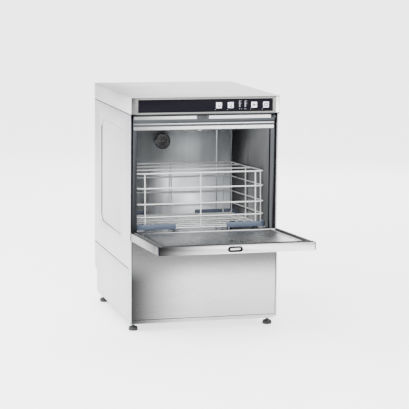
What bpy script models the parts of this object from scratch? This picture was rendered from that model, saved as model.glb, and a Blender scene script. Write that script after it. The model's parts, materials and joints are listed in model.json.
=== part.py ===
"""A front-loading under-counter glass washer, modelled as separate pieces in metres, +Z up.

The machine faces -Y. Every place below is written in the cabinet's own frame: x is 0 on the
centre line, y is 0 at the front plane and grows to the rear, z is 0 at the floor. One empty
then moves the whole machine so that the middle of its footprint, door open, is the origin.
"""

import math

import bmesh
import bpy
from mathutils import Vector

# ---- Driving dimensions ---------------------------------------------------------------------
WIDTH = 0.460
DEPTH = 0.540
HEIGHT = 0.710
SKIRT_HEIGHT = 0.051
SIDE_BOTTOM = 0.030
FRAME_BOTTOM = 0.024
PANEL = 0.004  # double-skinned side panels
SHEET = 0.0015  # single sheet metal
GAP = 0.0003  # between pieces that touch
SEAM = 0.0015  # a panel seam that shows

SERVICE_TOP = 0.191  # top of the removable lower side panels
SERVICE_FRONT = 0.027
REAR_STEP = 0.035  # how far the rear's foot is set in
REAR_STEP_TOP = 0.110
REAR_STEP_CHAMFER = 0.012
COVER_OVERHANG = 0.003

DOOR_ZONE_SET_BACK = 0.012
DOOR_TOP_CLEARANCE = 0.019  # from the closed door's top edge to the lid
DOOR_THICKNESS = 0.024
DOOR_TILT = math.radians(3.0)  # the open door slopes back, so that it drains inwards
HINGE_FROM_OUTSIDE = 0.004
DOOR_PROUD = 0.0125
HINGE_Z = 0.2855
CATCH_X = -0.008
CATCH_WIDTH = 0.038
CATCH_HEIGHT = 0.011
GASKET = 0.004
GASKET_WIDTH = 0.009
GASKET_RISE = 0.003  # how far the seal stands above the door's inside face
SEAL_SIDE_GAP = 0.002
SEAL_REAR = 0.010  # where the seal stops short of the hinge
LINER_INSET = 0.022
LINER_RISE = 0.001
LINER_RIB_WIDTH = 0.007

FRAME_FRONT = 0.016
FRAME_THICKNESS = 0.0135
RIB_PROUD = 0.0012  # how far the header's ribs stand out of the frame
JAMB_WIDTH = 0.023  # from the cabinet's side to the mouth's
FRAME_INSET = 0.0105
OPENING_BOTTOM = 0.298
HEADER_HEIGHT = 0.0505  # from the mouth's top to the lid

REAR_SPACE = 0.103  # for pipes, behind the tank
CHAMBER_FLOOR = 0.195
ROOF_SPACE = 0.019

SPRAY_TO_BACK = 0.202  # from the spray arms' axis to the tank's rear wall
POST_RADIUS = 0.012
ARM_CLEARANCE = 0.0012
ARM_WALL_GAP = 0.027
WASH_ARM_SECTION = (0.034, 0.012)
RINSE_ARM_SECTION = (0.014, 0.009)
RINSE_ARM_SHORTER = 0.020
LOWER_ARM_Z = 0.2300
ARM_STEP = 0.0022
UPPER_ARM_DROP = 0.0165  # from the tank's roof to the upper wash arm

SUMP_TO_SPRAY = 0.120  # from the sump's axis back to the spray arms'
SUMP_RADIUS = 0.050
SUMP_BOTTOM = 0.118
STRAINER_Z = 0.2190
STANDPIPE_INSET = (0.035, 0.045)  # from the tank's right and rear walls
STANDPIPE_RADIUS = 0.011
STANDPIPE_HEIGHT = 0.042

BASKET_SIDE_GAP = 0.002
BASKET_REAR_GAP = 0.001
BASKET_IN = 0.048  # the basket's front edge behind the hinge when it is pushed in
BASKET_LIFT = 0.0008
WIRE = 0.0020
CORNER_RADIUS = 0.016
RING_HEIGHTS = (0.003, 0.038, 0.077, 0.125, 0.170)
GUARD_THICKNESS = 0.003
GUARD_HEIGHT = 0.017
GUARD_ARM = 0.125

PANEL_END = 0.022  # of the surround, beside the black front
PANEL_SILL = 0.005
PANEL_HEAD = 0.0075
BUTTON = 0.0175
BUTTON_TRAVEL = 0.0015
BUTTON_GAP = 0.0004
BUTTONS_FROM_END = {
    "program_button_short": 0.1680,
    "program_button_long": 0.1315,
    "start_button": 0.0585,
    "power_button": 0.0213,
}
DISPLAY_FROM_END = (0.1037, 0.0861)
DISPLAY_BAR = (0.0050, 0.0220)

FOOT_RADIUS = 0.0145
FOOT_SIDE = 0.018
FOOT_FRONT = 0.040
FOOT_FROM_REAR = 0.070
STEM_RADIUS = 0.005

BOILER_INSET = 0.084
BOILER_Z = 0.118
BOILER_RADIUS = 0.050
BOILER_WALL = 0.0025
BOILER_FRONT = 0.120
BOILER_FROM_REAR = 0.140
PUMP_INSET = 0.090
PUMP_Z = 0.110
PUMP_RADIUS = 0.046
PUMP_TO_SPRAY = 0.070  # from the pump's front face back to the spray arms' axis
VOLUTE_DEPTH = 0.040
MOTOR_LENGTH = 0.140
PIPE_RADIUS = 0.010
PIPE_GAP = 0.0015  # between a pipe's slanting end and what it meets

# ---- Sizes that follow from them -------------------------------------------------------------
HALF = WIDTH / 2
COVER_BOTTOM = HEIGHT - SKIRT_HEIGHT
PANEL_TOP = COVER_BOTTOM - SEAM
DOOR_LENGTH = COVER_BOTTOM - DOOR_TOP_CLEARANCE - HINGE_Z
OPENING_HALF = HALF - JAMB_WIDTH
OPENING_TOP = COVER_BOTTOM - HEADER_HEIGHT
FRAME_HALF = HALF - FRAME_INSET
CHAMBER_BACK = DEPTH - REAR_SPACE
CHAMBER_TOP = COVER_BOTTOM - ROOF_SPACE
SPRAY_Y = CHAMBER_BACK - SPRAY_TO_BACK
SUMP_Y = SPRAY_Y - SUMP_TO_SPRAY
PUMP_FRONT = SPRAY_Y - PUMP_TO_SPRAY
ARM_REACH = min(SPRAY_TO_BACK, OPENING_HALF) - ARM_WALL_GAP
WASH_ARM = (2 * ARM_REACH, *WASH_ARM_SECTION)
RINSE_ARM = (2 * ARM_REACH - RINSE_ARM_SHORTER, *RINSE_ARM_SECTION)
UPPER_ARM_Z = CHAMBER_TOP - UPPER_ARM_DROP  # top face of the upper wash arm
STANDPIPE = (OPENING_HALF - STANDPIPE_INSET[0], CHAMBER_BACK - STANDPIPE_INSET[1])
BASKET_WIDTH = 2 * (OPENING_HALF - BASKET_SIDE_GAP)
BASKET_DEPTH = CHAMBER_BACK - BASKET_IN - BASKET_REAR_GAP
PANEL_WINDOW_HALF = HALF - PANEL_END
PANEL_WINDOW_BOTTOM = COVER_BOTTOM + PANEL_SILL
PANEL_WINDOW_TOP = HEIGHT - PANEL_HEAD
BUTTONS = {name: PANEL_WINDOW_HALF - inset for name, inset in BUTTONS_FROM_END.items()}
DISPLAY_X = tuple(PANEL_WINDOW_HALF - inset for inset in DISPLAY_FROM_END)
FOOT_REAR = DEPTH - FOOT_FROM_REAR
BOILER = (HALF - BOILER_INSET, BOILER_Z)  # x and z of the boiler's axis
BOILER_ENDS = (BOILER_FRONT, DEPTH - BOILER_FROM_REAR)
PUMP = (PUMP_INSET - HALF, PUMP_Z)  # x and z of the wash pump's axis
INNER_HALF = HALF - PANEL
HINGE_Y = HINGE_FROM_OUTSIDE - DOOR_PROUD
INSIDE_FACE = DOOR_THICKNESS - HINGE_FROM_OUTSIDE
SEAT = INSIDE_FACE + LINER_RISE
REACH = HINGE_Y - DOOR_LENGTH * math.cos(DOOR_TILT) - HINGE_FROM_OUTSIDE * math.sin(DOOR_TILT)
MACHINE_Y = -(REACH + DEPTH + COVER_OVERHANG) / 2
DOOR_ZONE_BOTTOM = HINGE_Z - HINGE_FROM_OUTSIDE - SEAM
FLOOR_UNDERSIDE = CHAMBER_FLOOR - SHEET
FOOT_PLACES = {
    "foot_front_left": (-HALF + FOOT_SIDE, FOOT_FRONT),
    "foot_front_right": (HALF - FOOT_SIDE, FOOT_FRONT),
    "foot_rear_left": (-HALF + FOOT_SIDE, FOOT_REAR),
    "foot_rear_right": (HALF - FOOT_SIDE, FOOT_REAR),
}

# ---- Materials: colour, roughness, metallic --------------------------------------------------
FINISHES = {
    "stainless": ((0.70, 0.70, 0.72), 0.35, 1.0),
    "stainless_dark": ((0.42, 0.44, 0.44), 0.45, 1.0),
    "black_fascia": ((0.02, 0.02, 0.03), 0.25, 0.0),
    "button_white": ((0.86, 0.86, 0.90), 0.40, 0.0),
    "display": ((0.55, 0.60, 0.62), 0.20, 0.0),
    "circuit_board": ((0.05, 0.25, 0.10), 0.60, 0.0),
    "rubber": ((0.02, 0.02, 0.02), 0.80, 0.0),
    "black_plastic": ((0.03, 0.03, 0.03), 0.50, 0.0),
    "white_coating": ((0.88, 0.88, 0.88), 0.40, 0.0),
    "guard_plastic": ((0.42, 0.50, 0.58), 0.45, 0.0),
    "grey_plastic": ((0.45, 0.46, 0.48), 0.50, 0.0),
    "motor": ((0.55, 0.56, 0.58), 0.40, 0.8),
    "brass": ((0.70, 0.52, 0.25), 0.35, 1.0),
}


def clear_scene():
    """Empties the file that the script starts in."""
    for obj in list(bpy.data.objects):
        bpy.data.objects.remove(obj, do_unlink=True)


def make_collection(name):
    """A new collection linked to the scene."""
    made = bpy.data.collections.new(name)
    bpy.context.scene.collection.children.link(made)
    return made


def make_material(name):
    """A Principled material from FINISHES."""
    colour, roughness, metallic = FINISHES[name]
    made = bpy.data.materials.new(name)
    made.use_nodes = True
    shader = made.node_tree.nodes["Principled BSDF"]
    shader.inputs["Base Color"].default_value = (*colour, 1.0)
    shader.inputs["Roughness"].default_value = roughness
    shader.inputs["Metallic"].default_value = metallic
    return made


clear_scene()
PARTS = make_collection("glass_washer")
CUTTERS = make_collection("cutters")
MATERIALS = {name: make_material(name) for name in FINISHES}


def make_empty(name, location=(0, 0, 0), parent=None, turn_x=0.0):
    """An empty that other pieces hang from."""
    made = bpy.data.objects.new(name, None)
    made.location = location
    made.rotation_euler = (turn_x, 0, 0)
    made.parent = parent
    PARTS.objects.link(made)
    return made


MACHINE = make_empty("machine", (0, MACHINE_Y, 0))
SLOPE = make_empty("slope", (0, HINGE_Y, HINGE_Z), MACHINE, -DOOR_TILT)


def add_object(name, data, location, finish, parent):
    """Links a mesh or curve as a named piece, or as a cutter where it has no finish."""
    made = bpy.data.objects.new(name, data)
    made.location = location
    made.parent = parent or MACHINE
    if finish:
        data.materials.append(MATERIALS[finish])
        PARTS.objects.link(made)
    else:
        made.hide_render = True
        made.display_type = "WIRE"
        CUTTERS.objects.link(made)
    return made


def box_mesh(name, size, drop=()):
    """A box centred on its origin, less the faces whose outward directions are in drop."""
    mesh = bpy.data.meshes.new(name)
    bm = bmesh.new()
    bmesh.ops.create_cube(bm, size=1.0)
    bmesh.ops.scale(bm, vec=Vector(size), verts=bm.verts)
    if drop:
        bm.normal_update()
        gone = [f for f in bm.faces if any(f.normal.dot(Vector(d)) > 0.9 for d in drop)]
        bmesh.ops.delete(bm, geom=gone, context="FACES_ONLY")
    bm.to_mesh(mesh)
    bm.free()
    return mesh


def box(name, low, high, finish=None, parent=None, bevel=0.0):
    """A box between two corners, with rounded edges where bevel is given."""
    size = [b - a for a, b in zip(low, high)]
    centre = [(a + b) / 2 for a, b in zip(low, high)]
    made = add_object(name, box_mesh(name, size), centre, finish, parent)
    if bevel:
        add_bevel(made, bevel)
    return made


def shell(name, low, high, wall, drop, finish, parent=None):
    """An open box of sheet: outer corners low and high, wall inwards, open at drop."""
    size = [b - a for a, b in zip(low, high)]
    centre = [(a + b) / 2 for a, b in zip(low, high)]
    made = add_object(name, box_mesh(name, size, drop), centre, finish, parent)
    solid = made.modifiers.new("wall", "SOLIDIFY")
    solid.thickness = wall
    solid.offset = -1
    solid.use_even_offset = True
    return made


def add_bevel(obj, width, segments=2):
    """Rounds the sharp edges of a piece."""
    bevel = obj.modifiers.new("bevel", "BEVEL")
    bevel.width = width
    bevel.segments = segments
    bevel.limit_method = "ANGLE"
    return bevel


def boolean(obj, other, operation="DIFFERENCE"):
    """Cuts other out of obj, or joins it on; other becomes a helper."""
    made = obj.modifiers.new(other.name, "BOOLEAN")
    made.operation = operation
    made.object = other
    if other.name in PARTS.objects:
        PARTS.objects.unlink(other)
        CUTTERS.objects.link(other)
    other.hide_render = True
    other.display_type = "WIRE"


def as_mesh(obj):
    """The same piece with its curve turned into a welded mesh."""
    bpy.context.view_layer.update()
    graph = bpy.context.evaluated_depsgraph_get()
    mesh = bpy.data.meshes.new_from_object(obj.evaluated_get(graph))
    bm = bmesh.new()
    bm.from_mesh(mesh)
    bmesh.ops.remove_doubles(bm, verts=bm.verts, dist=0.00001)
    bmesh.ops.recalc_face_normals(bm, faces=bm.faces)
    bm.to_mesh(mesh)
    bm.free()
    name, holder = obj.name, obj.users_collection[0]
    made = bpy.data.objects.new(name + "_mesh", mesh)
    made.parent = obj.parent
    made.location = obj.location
    made.rotation_euler = obj.rotation_euler
    made.hide_render = obj.hide_render
    made.display_type = obj.display_type
    bpy.data.objects.remove(obj, do_unlink=True)
    holder.objects.link(made)
    made.name = name
    return made


def outline_curve(name, loops, thickness):
    """A flat filled outline, thickness along its own z, of one or more closed loops."""
    curve = bpy.data.curves.new(name, "CURVE")
    curve.dimensions = "2D"
    curve.fill_mode = "BOTH"
    curve.extrude = thickness / 2
    for points in loops:
        spline = curve.splines.new("POLY")
        spline.points.add(len(points) - 1)
        for target, (u, v) in zip(spline.points, points):
            target.co = (u, v, 0, 1)
        spline.use_cyclic_u = True
    return curve


def plate(name, loops, span, across, finish=None, parent=None):
    """A flat outline that runs between span's two values along one axis.

    across "x" takes outlines in (y, z), "y" takes (x, z) and "z" takes (x, y).
    """
    thickness = span[1] - span[0]
    middle = (span[0] + span[1]) / 2
    curve = outline_curve(name, loops, thickness)
    turn = {"x": (math.pi / 2, 0, math.pi / 2), "y": (math.pi / 2, 0, 0), "z": (0, 0, 0)}[across]
    place = {"x": (middle, 0, 0), "y": (0, middle, 0), "z": (0, 0, middle)}[across]
    made = add_object(name, curve, place, finish, parent)
    made.rotation_euler = turn
    return as_mesh(made)


def rectangle(u0, u1, v0, v1):
    """The four corners of a rectangle."""
    return [(u0, v0), (u1, v0), (u1, v1), (u0, v1)]


def rounded_rectangle(u0, u1, v0, v1, radius, steps=3):
    """A rectangle whose corners are arcs."""
    points = []
    corners = ((u1, v0, -90), (u1, v1, 0), (u0, v1, 90), (u0, v0, 180))
    for u, v, start in corners:
        cu = u - math.copysign(radius, u - (u0 + u1) / 2)
        cv = v - math.copysign(radius, v - (v0 + v1) / 2)
        for step in range(steps + 1):
            angle = math.radians(start + 90 * step / steps)
            points.append((cu + radius * math.cos(angle), cv + radius * math.sin(angle)))
    return points


def circle(u, v, radius, sides=24):
    """A circle's points."""
    turns = (2 * math.pi * i / sides for i in range(sides))
    return [(u + radius * math.cos(a), v + radius * math.sin(a)) for a in turns]


def turned(name, profile, location, finish=None, axis="z", steps=24, parent=None):
    """A turned piece: profile is (radius, height) from the top down its outside, then inside."""
    mesh = bpy.data.meshes.new(name)
    bm = bmesh.new()
    points = [bm.verts.new((r, 0, h)) for r, h in profile]
    for a, b in zip(points, points[1:]):
        bm.edges.new((a, b))
    if profile[0][0] > 0 and profile[-1][0] > 0:
        bm.edges.new((points[-1], points[0]))
    bm.to_mesh(mesh)
    bm.free()
    made = add_object(name, mesh, location, finish, parent)
    made.rotation_euler = {
        "z": (0, 0, 0),
        "y": (-math.pi / 2, 0, 0),
        "-y": (math.pi / 2, 0, 0),
    }[axis]
    screw = made.modifiers.new("screw", "SCREW")
    screw.axis = "Z"
    screw.steps = steps
    screw.render_steps = steps
    screw.use_merge_vertices = True
    screw.merge_threshold = 0.00005
    screw.use_smooth_shade = True
    return made


def cylinder_profile(radius, low, high, edge=0.0):
    """A solid cylinder's profile, with chamfered ends where edge is given."""
    if not edge:
        return [(0, high), (radius, high), (radius, low), (0, low)]
    return [
        (0, high),
        (radius - edge, high),
        (radius, high - edge),
        (radius, low + edge),
        (radius - edge, low),
        (0, low),
    ]


def smooth_route(points, per_span=4):
    """Points along a Catmull-Rom curve through the given ones."""
    ends = [points[0], *points, points[-1]]
    route = []
    for p0, p1, p2, p3 in zip(ends, ends[1:], ends[2:], ends[3:]):
        p0, p1, p2, p3 = map(Vector, (p0, p1, p2, p3))
        for step in range(per_span):
            t = step / per_span
            along = 2 * p1 + (p2 - p0) * t + (2 * p0 - 5 * p1 + 4 * p2 - p3) * t * t
            route.append((along + (3 * p1 - p0 - 3 * p2 + p3) * t**3) / 2)
    route.append(Vector(points[-1]))
    return route


def wire(name, points, radius, finish=None, parent=None, closed=False, sides=1):
    """A round bar along points, as a mesh."""
    curve = bpy.data.curves.new(name, "CURVE")
    curve.dimensions = "3D"
    curve.bevel_depth = radius
    curve.bevel_resolution = sides
    curve.use_fill_caps = True
    spline = curve.splines.new("POLY")
    spline.points.add(len(points) - 1)
    for target, place in zip(spline.points, points):
        target.co = (*place, 1)
    spline.use_cyclic_u = closed
    return as_mesh(add_object(name, curve, (0, 0, 0), finish, parent))


def smooth_all():
    """Shades the round pieces smooth, with their corners kept sharp."""
    for obj in PARTS.objects:
        if obj.type == "MESH":
            obj.data.shade_smooth()
            obj.data.set_sharp_from_angle(angle=math.radians(35))


# ---- Cabinet ---------------------------------------------------------------------------------
def build_base_frame():
    """The folded tray that carries everything, with a hole for each foot."""
    low = (-INNER_HALF + SEAM, DOOR_ZONE_SET_BACK, FRAME_BOTTOM)
    high = (INNER_HALF - SEAM, DEPTH - REAR_STEP - 2 * SHEET, FRAME_BOTTOM + 0.030)
    tray = shell("base_frame", low, high, SHEET, [(0, 0, 1)], "stainless")
    for name, (x, y) in FOOT_PLACES.items():
        hole = turned(
            name + "_hole", cylinder_profile(STEM_RADIUS + 0.0006, -0.01, 0.01), (x, y, FRAME_BOTTOM)
        )
        boolean(tray, hole)


def build_feet():
    """Four screw feet: a disc on a stem that turns in the tray."""
    stem_top = FRAME_BOTTOM + 0.028
    for name, (x, y) in FOOT_PLACES.items():
        profile = [
            (0, stem_top),
            (STEM_RADIUS, stem_top),
            (STEM_RADIUS, 0.014),
            (FOOT_RADIUS * 0.62, 0.012),
            (FOOT_RADIUS, 0.006),
            (FOOT_RADIUS, 0.0),
            (0, 0.0),
        ]
        turned(name, profile, (x, y, 0), "rubber", steps=20)


def side_outline():
    """The upper side panel in (y, z), with its front leg and the door's set-back."""
    return [
        (0, SIDE_BOTTOM),
        (SERVICE_FRONT, SIDE_BOTTOM),
        (SERVICE_FRONT, SERVICE_TOP + SEAM),
        (DEPTH, SERVICE_TOP + SEAM),
        (DEPTH, PANEL_TOP),
        (DOOR_ZONE_SET_BACK, PANEL_TOP),
        (DOOR_ZONE_SET_BACK, DOOR_ZONE_BOTTOM),
        (0, DOOR_ZONE_BOTTOM),
    ]


def service_outline():
    """The removable lower side panel in (y, z), stepped in at the rear foot."""
    rear = DEPTH - SEAM
    return [
        (SERVICE_FRONT + SEAM, SIDE_BOTTOM),
        (rear - REAR_STEP, SIDE_BOTTOM),
        (rear - REAR_STEP, REAR_STEP_TOP - REAR_STEP_CHAMFER),
        (rear, REAR_STEP_TOP),
        (rear, SERVICE_TOP),
        (SERVICE_FRONT + SEAM, SERVICE_TOP),
    ]


def build_sides():
    """Upper panels with a pressed field that fades to the front, and the panels below."""
    press_rear, press_front = DEPTH - 0.112, 0.135
    press_bottom, press_top = 0.278, PANEL_TOP - 0.0525
    press_depth, press_radius = 0.0022, 0.022
    length = press_rear - press_front
    lean = math.atan2(press_depth, length)
    for side, sign in (("left", -1), ("right", 1)):
        span = sorted((sign * HALF, sign * INNER_HALF))
        panel = plate(f"{side}_side_panel", [side_outline()], span, "x", "stainless")
        field = rounded_rectangle(-length, 0, press_bottom, press_top, press_radius)
        cutter = plate(f"{side}_press", [field], (0, 0.006), "x")
        cutter.location = (sign * (HALF - press_depth + 0.003), press_rear, 0)
        cutter.rotation_euler.z += sign * lean
        boolean(panel, cutter)
        name = f"{side}_lower_side_panel"
        plate(name, [service_outline()], span, "x", "stainless")


def build_rear():
    """One folded rear panel: upright, chamfered step, and the set-in foot with its ports."""
    outer = DEPTH
    inner = DEPTH - SHEET
    foot_outer, foot_inner = outer - REAR_STEP, inner - REAR_STEP
    chamfer_z = REAR_STEP_TOP - REAR_STEP_CHAMFER
    outline = [
        (foot_outer, SIDE_BOTTOM),
        (foot_outer, chamfer_z),
        (outer, REAR_STEP_TOP),
        (outer, PANEL_TOP),
        (inner, PANEL_TOP),
        (inner, REAR_STEP_TOP + SHEET),
        (foot_inner, chamfer_z + SHEET),
        (foot_inner, SIDE_BOTTOM),
    ]
    half = INNER_HALF - SEAM
    plate("rear_panel", [outline], (-half, half), "x", "stainless")


def build_lower_front():
    """The lower front panel, a shallow tray open to the rear."""
    low = (-INNER_HALF + SEAM, 0, SIDE_BOTTOM + 0.003)
    high = (INNER_HALF - SEAM, DOOR_ZONE_SET_BACK - SEAM, DOOR_ZONE_BOTTOM)
    shell("lower_front_panel", low, high, SHEET, [(0, 1, 0)], "stainless")


def build_top_cover():
    """The lid: top, sides and rear of one sheet, open below and at the front."""
    low = (-HALF, GAP, COVER_BOTTOM)
    high = (HALF, DEPTH + COVER_OVERHANG, HEIGHT)
    cover = shell("top_cover", low, high, SHEET, [(0, 0, -1), (0, -1, 0)], "stainless")
    bevel = add_bevel(cover, 0.0022)
    bevel.angle_limit = math.radians(60)
    cover.modifiers.move(1, 0)


def build_fascia():
    """The control panel: stainless surround, black front, buttons, bars and board."""
    half = HALF - SHEET - GAP
    bottom, top = COVER_BOTTOM + GAP, HEIGHT - SHEET - GAP
    window = rectangle(
        -PANEL_WINDOW_HALF, PANEL_WINDOW_HALF, PANEL_WINDOW_BOTTOM, PANEL_WINDOW_TOP
    )
    surround = [rectangle(-half, half, bottom, top), window]
    plate("fascia_frame", surround, (-0.0005, 0.0115), "y", "stainless")

    inset = GAP
    face = rectangle(
        -PANEL_WINDOW_HALF + inset,
        PANEL_WINDOW_HALF - inset,
        PANEL_WINDOW_BOTTOM + inset,
        PANEL_WINDOW_TOP - inset,
    )
    button_z = (PANEL_WINDOW_BOTTOM + PANEL_WINDOW_TOP) / 2
    reach = BUTTON / 2 + BUTTON_GAP
    holes = [
        rectangle(x - reach, x + reach, button_z - reach, button_z + reach)
        for x in BUTTONS.values()
    ]
    bar_z = button_z + 0.004
    slack = 0.0004
    bar_half = (DISPLAY_BAR[0] / 2, DISPLAY_BAR[1] / 2)
    for x in DISPLAY_X:
        u, v = bar_half[0] + slack, bar_half[1] + slack
        holes.append(rectangle(x - u, x + u, bar_z - v, bar_z + v))
    plate("control_fascia", [face, *holes], (0.0010, 0.0035), "y", "black_fascia")

    for name, x in BUTTONS.items():
        cap = box(
            name,
            (x - BUTTON / 2, 0.0003, button_z - BUTTON / 2),
            (x + BUTTON / 2, 0.0075, button_z + BUTTON / 2),
            "button_white",
        )
        add_bevel(cap, 0.0006, 1)

    back = box(
        "temperature_display",
        (DISPLAY_X[0] - 0.006, 0.0045, bar_z - 0.013),
        (DISPLAY_X[1] + 0.006, 0.0075, bar_z + 0.013),
        "display",
    )
    for index, x in enumerate(DISPLAY_X):
        bar = box(
            f"display_bar_{index}",
            (x - bar_half[0], 0.0014, bar_z - bar_half[1]),
            (x + bar_half[0], 0.0060, bar_z + bar_half[1]),
        )
        boolean(back, bar, "UNION")

    board_front = 0.0075 + BUTTON_TRAVEL + 0.001
    box(
        "control_board",
        (-0.02, board_front, PANEL_WINDOW_BOTTOM + 0.003),
        (PANEL_WINDOW_HALF - 0.003, board_front + 0.0016, PANEL_WINDOW_TOP - 0.003),
        "circuit_board",
    )


def build_front_frame():
    """The chamber's front: the ring round its mouth and the ribbed header above it."""
    front, back = FRAME_FRONT, FRAME_FRONT + FRAME_THICKNESS
    outer = rectangle(-FRAME_HALF, FRAME_HALF, FLOOR_UNDERSIDE, PANEL_TOP)
    mouth = rectangle(-OPENING_HALF, OPENING_HALF, OPENING_BOTTOM, OPENING_TOP)
    frame = plate("front_frame", [outer, mouth], (front, back), "y", "stainless")
    half = FRAME_HALF - 0.0005
    strip_front = front - 0.008
    rib_front = front - RIB_PROUD
    ribs = {
        "header_strip": (COVER_BOTTOM - 0.016, COVER_BOTTOM - 0.007, strip_front),
        "header_rib": (COVER_BOTTOM - 0.0325, COVER_BOTTOM - 0.0285, rib_front),
        "header_lip": (OPENING_TOP + 0.001, COVER_BOTTOM - 0.038, rib_front),
    }
    for name, (bottom, top, face) in ribs.items():
        rib = box(name, (-half, face, bottom), (half, front + 0.002, top))
        boolean(frame, rib, "UNION")

    box(
        "door_striker",
        (CATCH_X - 0.018, strip_front - 0.011, COVER_BOTTOM - 0.0165),
        (CATCH_X + 0.018, strip_front - GAP, COVER_BOTTOM - 0.0055),
        "grey_plastic",
        bevel=0.0015,
    )
    turned(
        "door_buffer",
        cylinder_profile(0.0045, 0, 0.011, 0.001),
        (FRAME_HALF - 0.006, strip_front - GAP, COVER_BOTTOM - 0.0115),
        "black_plastic",
        axis="-y",
        steps=16,
    )


def build_chamber():
    """The wash tank: five walls of sheet, with the sump's well and the two posts' holes."""
    front = FRAME_FRONT + FRAME_THICKNESS + GAP
    low = (-OPENING_HALF - SHEET, front, FLOOR_UNDERSIDE)
    high = (OPENING_HALF + SHEET, CHAMBER_BACK + SHEET, CHAMBER_TOP + SHEET)
    tank = shell("wash_chamber", low, high, SHEET, [(0, -1, 0)], "stainless_dark")
    sump = turned(
        "sump_hole",
        cylinder_profile(SUMP_RADIUS - 0.004, -0.01, 0.01),
        (0, SUMP_Y, FLOOR_UNDERSIDE),
    )
    boolean(tank, sump)
    for name, z in (("lower_post_hole", FLOOR_UNDERSIDE), ("upper_post_hole", CHAMBER_TOP)):
        hole = turned(name, cylinder_profile(POST_RADIUS + GAP, -0.01, 0.01), (0, SPRAY_Y, z), steps=20)
        boolean(tank, hole)

    turned(
        "vent_fitting",
        [
            (0.025, 0.010),
            (0.025, 0.0),
            (0.0, 0.0),
            (0.0, 0.004),
            (0.007, 0.004),
            (0.009, 0.009),
            (0.015, 0.009),
            (0.017, 0.006),
            (0.020, 0.006),
            (0.022, 0.010),
        ],
        (-0.028, CHAMBER_BACK - GAP, OPENING_TOP - 0.0815),
        "black_plastic",
        axis="-y",
    )

    sump_top = FLOOR_UNDERSIDE - GAP
    rim = SUMP_RADIUS + 0.008
    well = [
        (rim, sump_top),
        (rim, sump_top - 0.002),
        (SUMP_RADIUS, sump_top - 0.002),
        (SUMP_RADIUS, SUMP_BOTTOM + 0.012),
        (SUMP_RADIUS - 0.016, SUMP_BOTTOM),
        (0, SUMP_BOTTOM),
        (0, SUMP_BOTTOM + 0.002),
        (SUMP_RADIUS - 0.017, SUMP_BOTTOM + 0.002),
        (SUMP_RADIUS - 0.002, SUMP_BOTTOM + 0.013),
        (SUMP_RADIUS - 0.002, sump_top),
    ]
    turned("tank_sump", well, (0, SUMP_Y, 0), "grey_plastic")

    cup_radius = SUMP_RADIUS - 0.007
    cup_top = STRAINER_Z - GAP
    cup_floor = SUMP_BOTTOM + 0.014
    cup = [
        (cup_radius, cup_top),
        (cup_radius, cup_floor),
        (0, cup_floor),
        (0, cup_floor + SHEET),
        (cup_radius - SHEET, cup_floor + SHEET),
        (cup_radius - SHEET, cup_top),
    ]
    turned("sump_filter", cup, (0, SUMP_Y, 0), "stainless")


def build_tank_furniture():
    """The strainer over the tank floor, the heater below it and the overflow pipe."""
    margin = 0.004
    field = rounded_rectangle(
        -OPENING_HALF + margin,
        OPENING_HALF - margin,
        FRAME_FRONT + FRAME_THICKNESS + 0.006,
        CHAMBER_BACK - margin,
        0.006,
        2,
    )
    holes = [
        circle(0, SUMP_Y, SUMP_RADIUS - 0.010),
        circle(0, SPRAY_Y, POST_RADIUS + 0.002, 20),
        circle(*STANDPIPE, STANDPIPE_RADIUS + 0.0015, 20),
    ]
    span = (STRAINER_Z, STRAINER_Z + SHEET)
    plate("tank_strainer", [field, *holes], span, "z", "stainless")

    heater_z = CHAMBER_FLOOR + 0.010
    leg, bend, back = 0.150, 0.028, CHAMBER_BACK - GAP
    centre_x = 0.082 - OPENING_HALF
    turn = [
        (
            centre_x - bend * math.cos(math.pi * i / 8),
            leg - bend * math.sin(math.pi * i / 8),
            heater_z,
        )
        for i in range(9)
    ]
    route = [(centre_x - bend, back, heater_z), *turn, (centre_x + bend, back, heater_z)]
    wire("tank_heater", route, 0.004, "stainless", sides=2)

    foot = CHAMBER_FLOOR + GAP
    top = STRAINER_Z + STANDPIPE_HEIGHT
    bore = STANDPIPE_RADIUS - SHEET
    pipe = [
        (STANDPIPE_RADIUS, top),
        (STANDPIPE_RADIUS, foot + 0.004),
        (STANDPIPE_RADIUS - 0.003, foot),
        (0, foot),
        (0, foot + 0.006),
        (bore, foot + 0.006),
        (bore, top),
    ]
    turned("overflow_pipe", pipe, (*STANDPIPE, 0), "grey_plastic", steps=20)


def spray_arm(name, size, z, finish):
    """A flat two-bladed arm with a round hub, turning on a post."""
    length, width, height = size
    blade = rounded_rectangle(-width / 2, width / 2, -length / 2, length / 2, width * 0.45)
    arm = plate(name, [blade], (-height / 2, height / 2), "z", finish)
    arm.location = (0, SPRAY_Y, z + height / 2)
    hub_radius = POST_RADIUS + 0.010
    hub = turned(
        name + "_hub",
        cylinder_profile(hub_radius, -height / 2, height / 2),
        (0, SPRAY_Y, z + height / 2),
    )
    bore = turned(
        name + "_bore",
        cylinder_profile(POST_RADIUS + ARM_CLEARANCE, -height, height),
        (0, SPRAY_Y, z + height / 2),
        steps=20,
    )
    boolean(arm, hub, "UNION")
    boolean(arm, bore)


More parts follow.
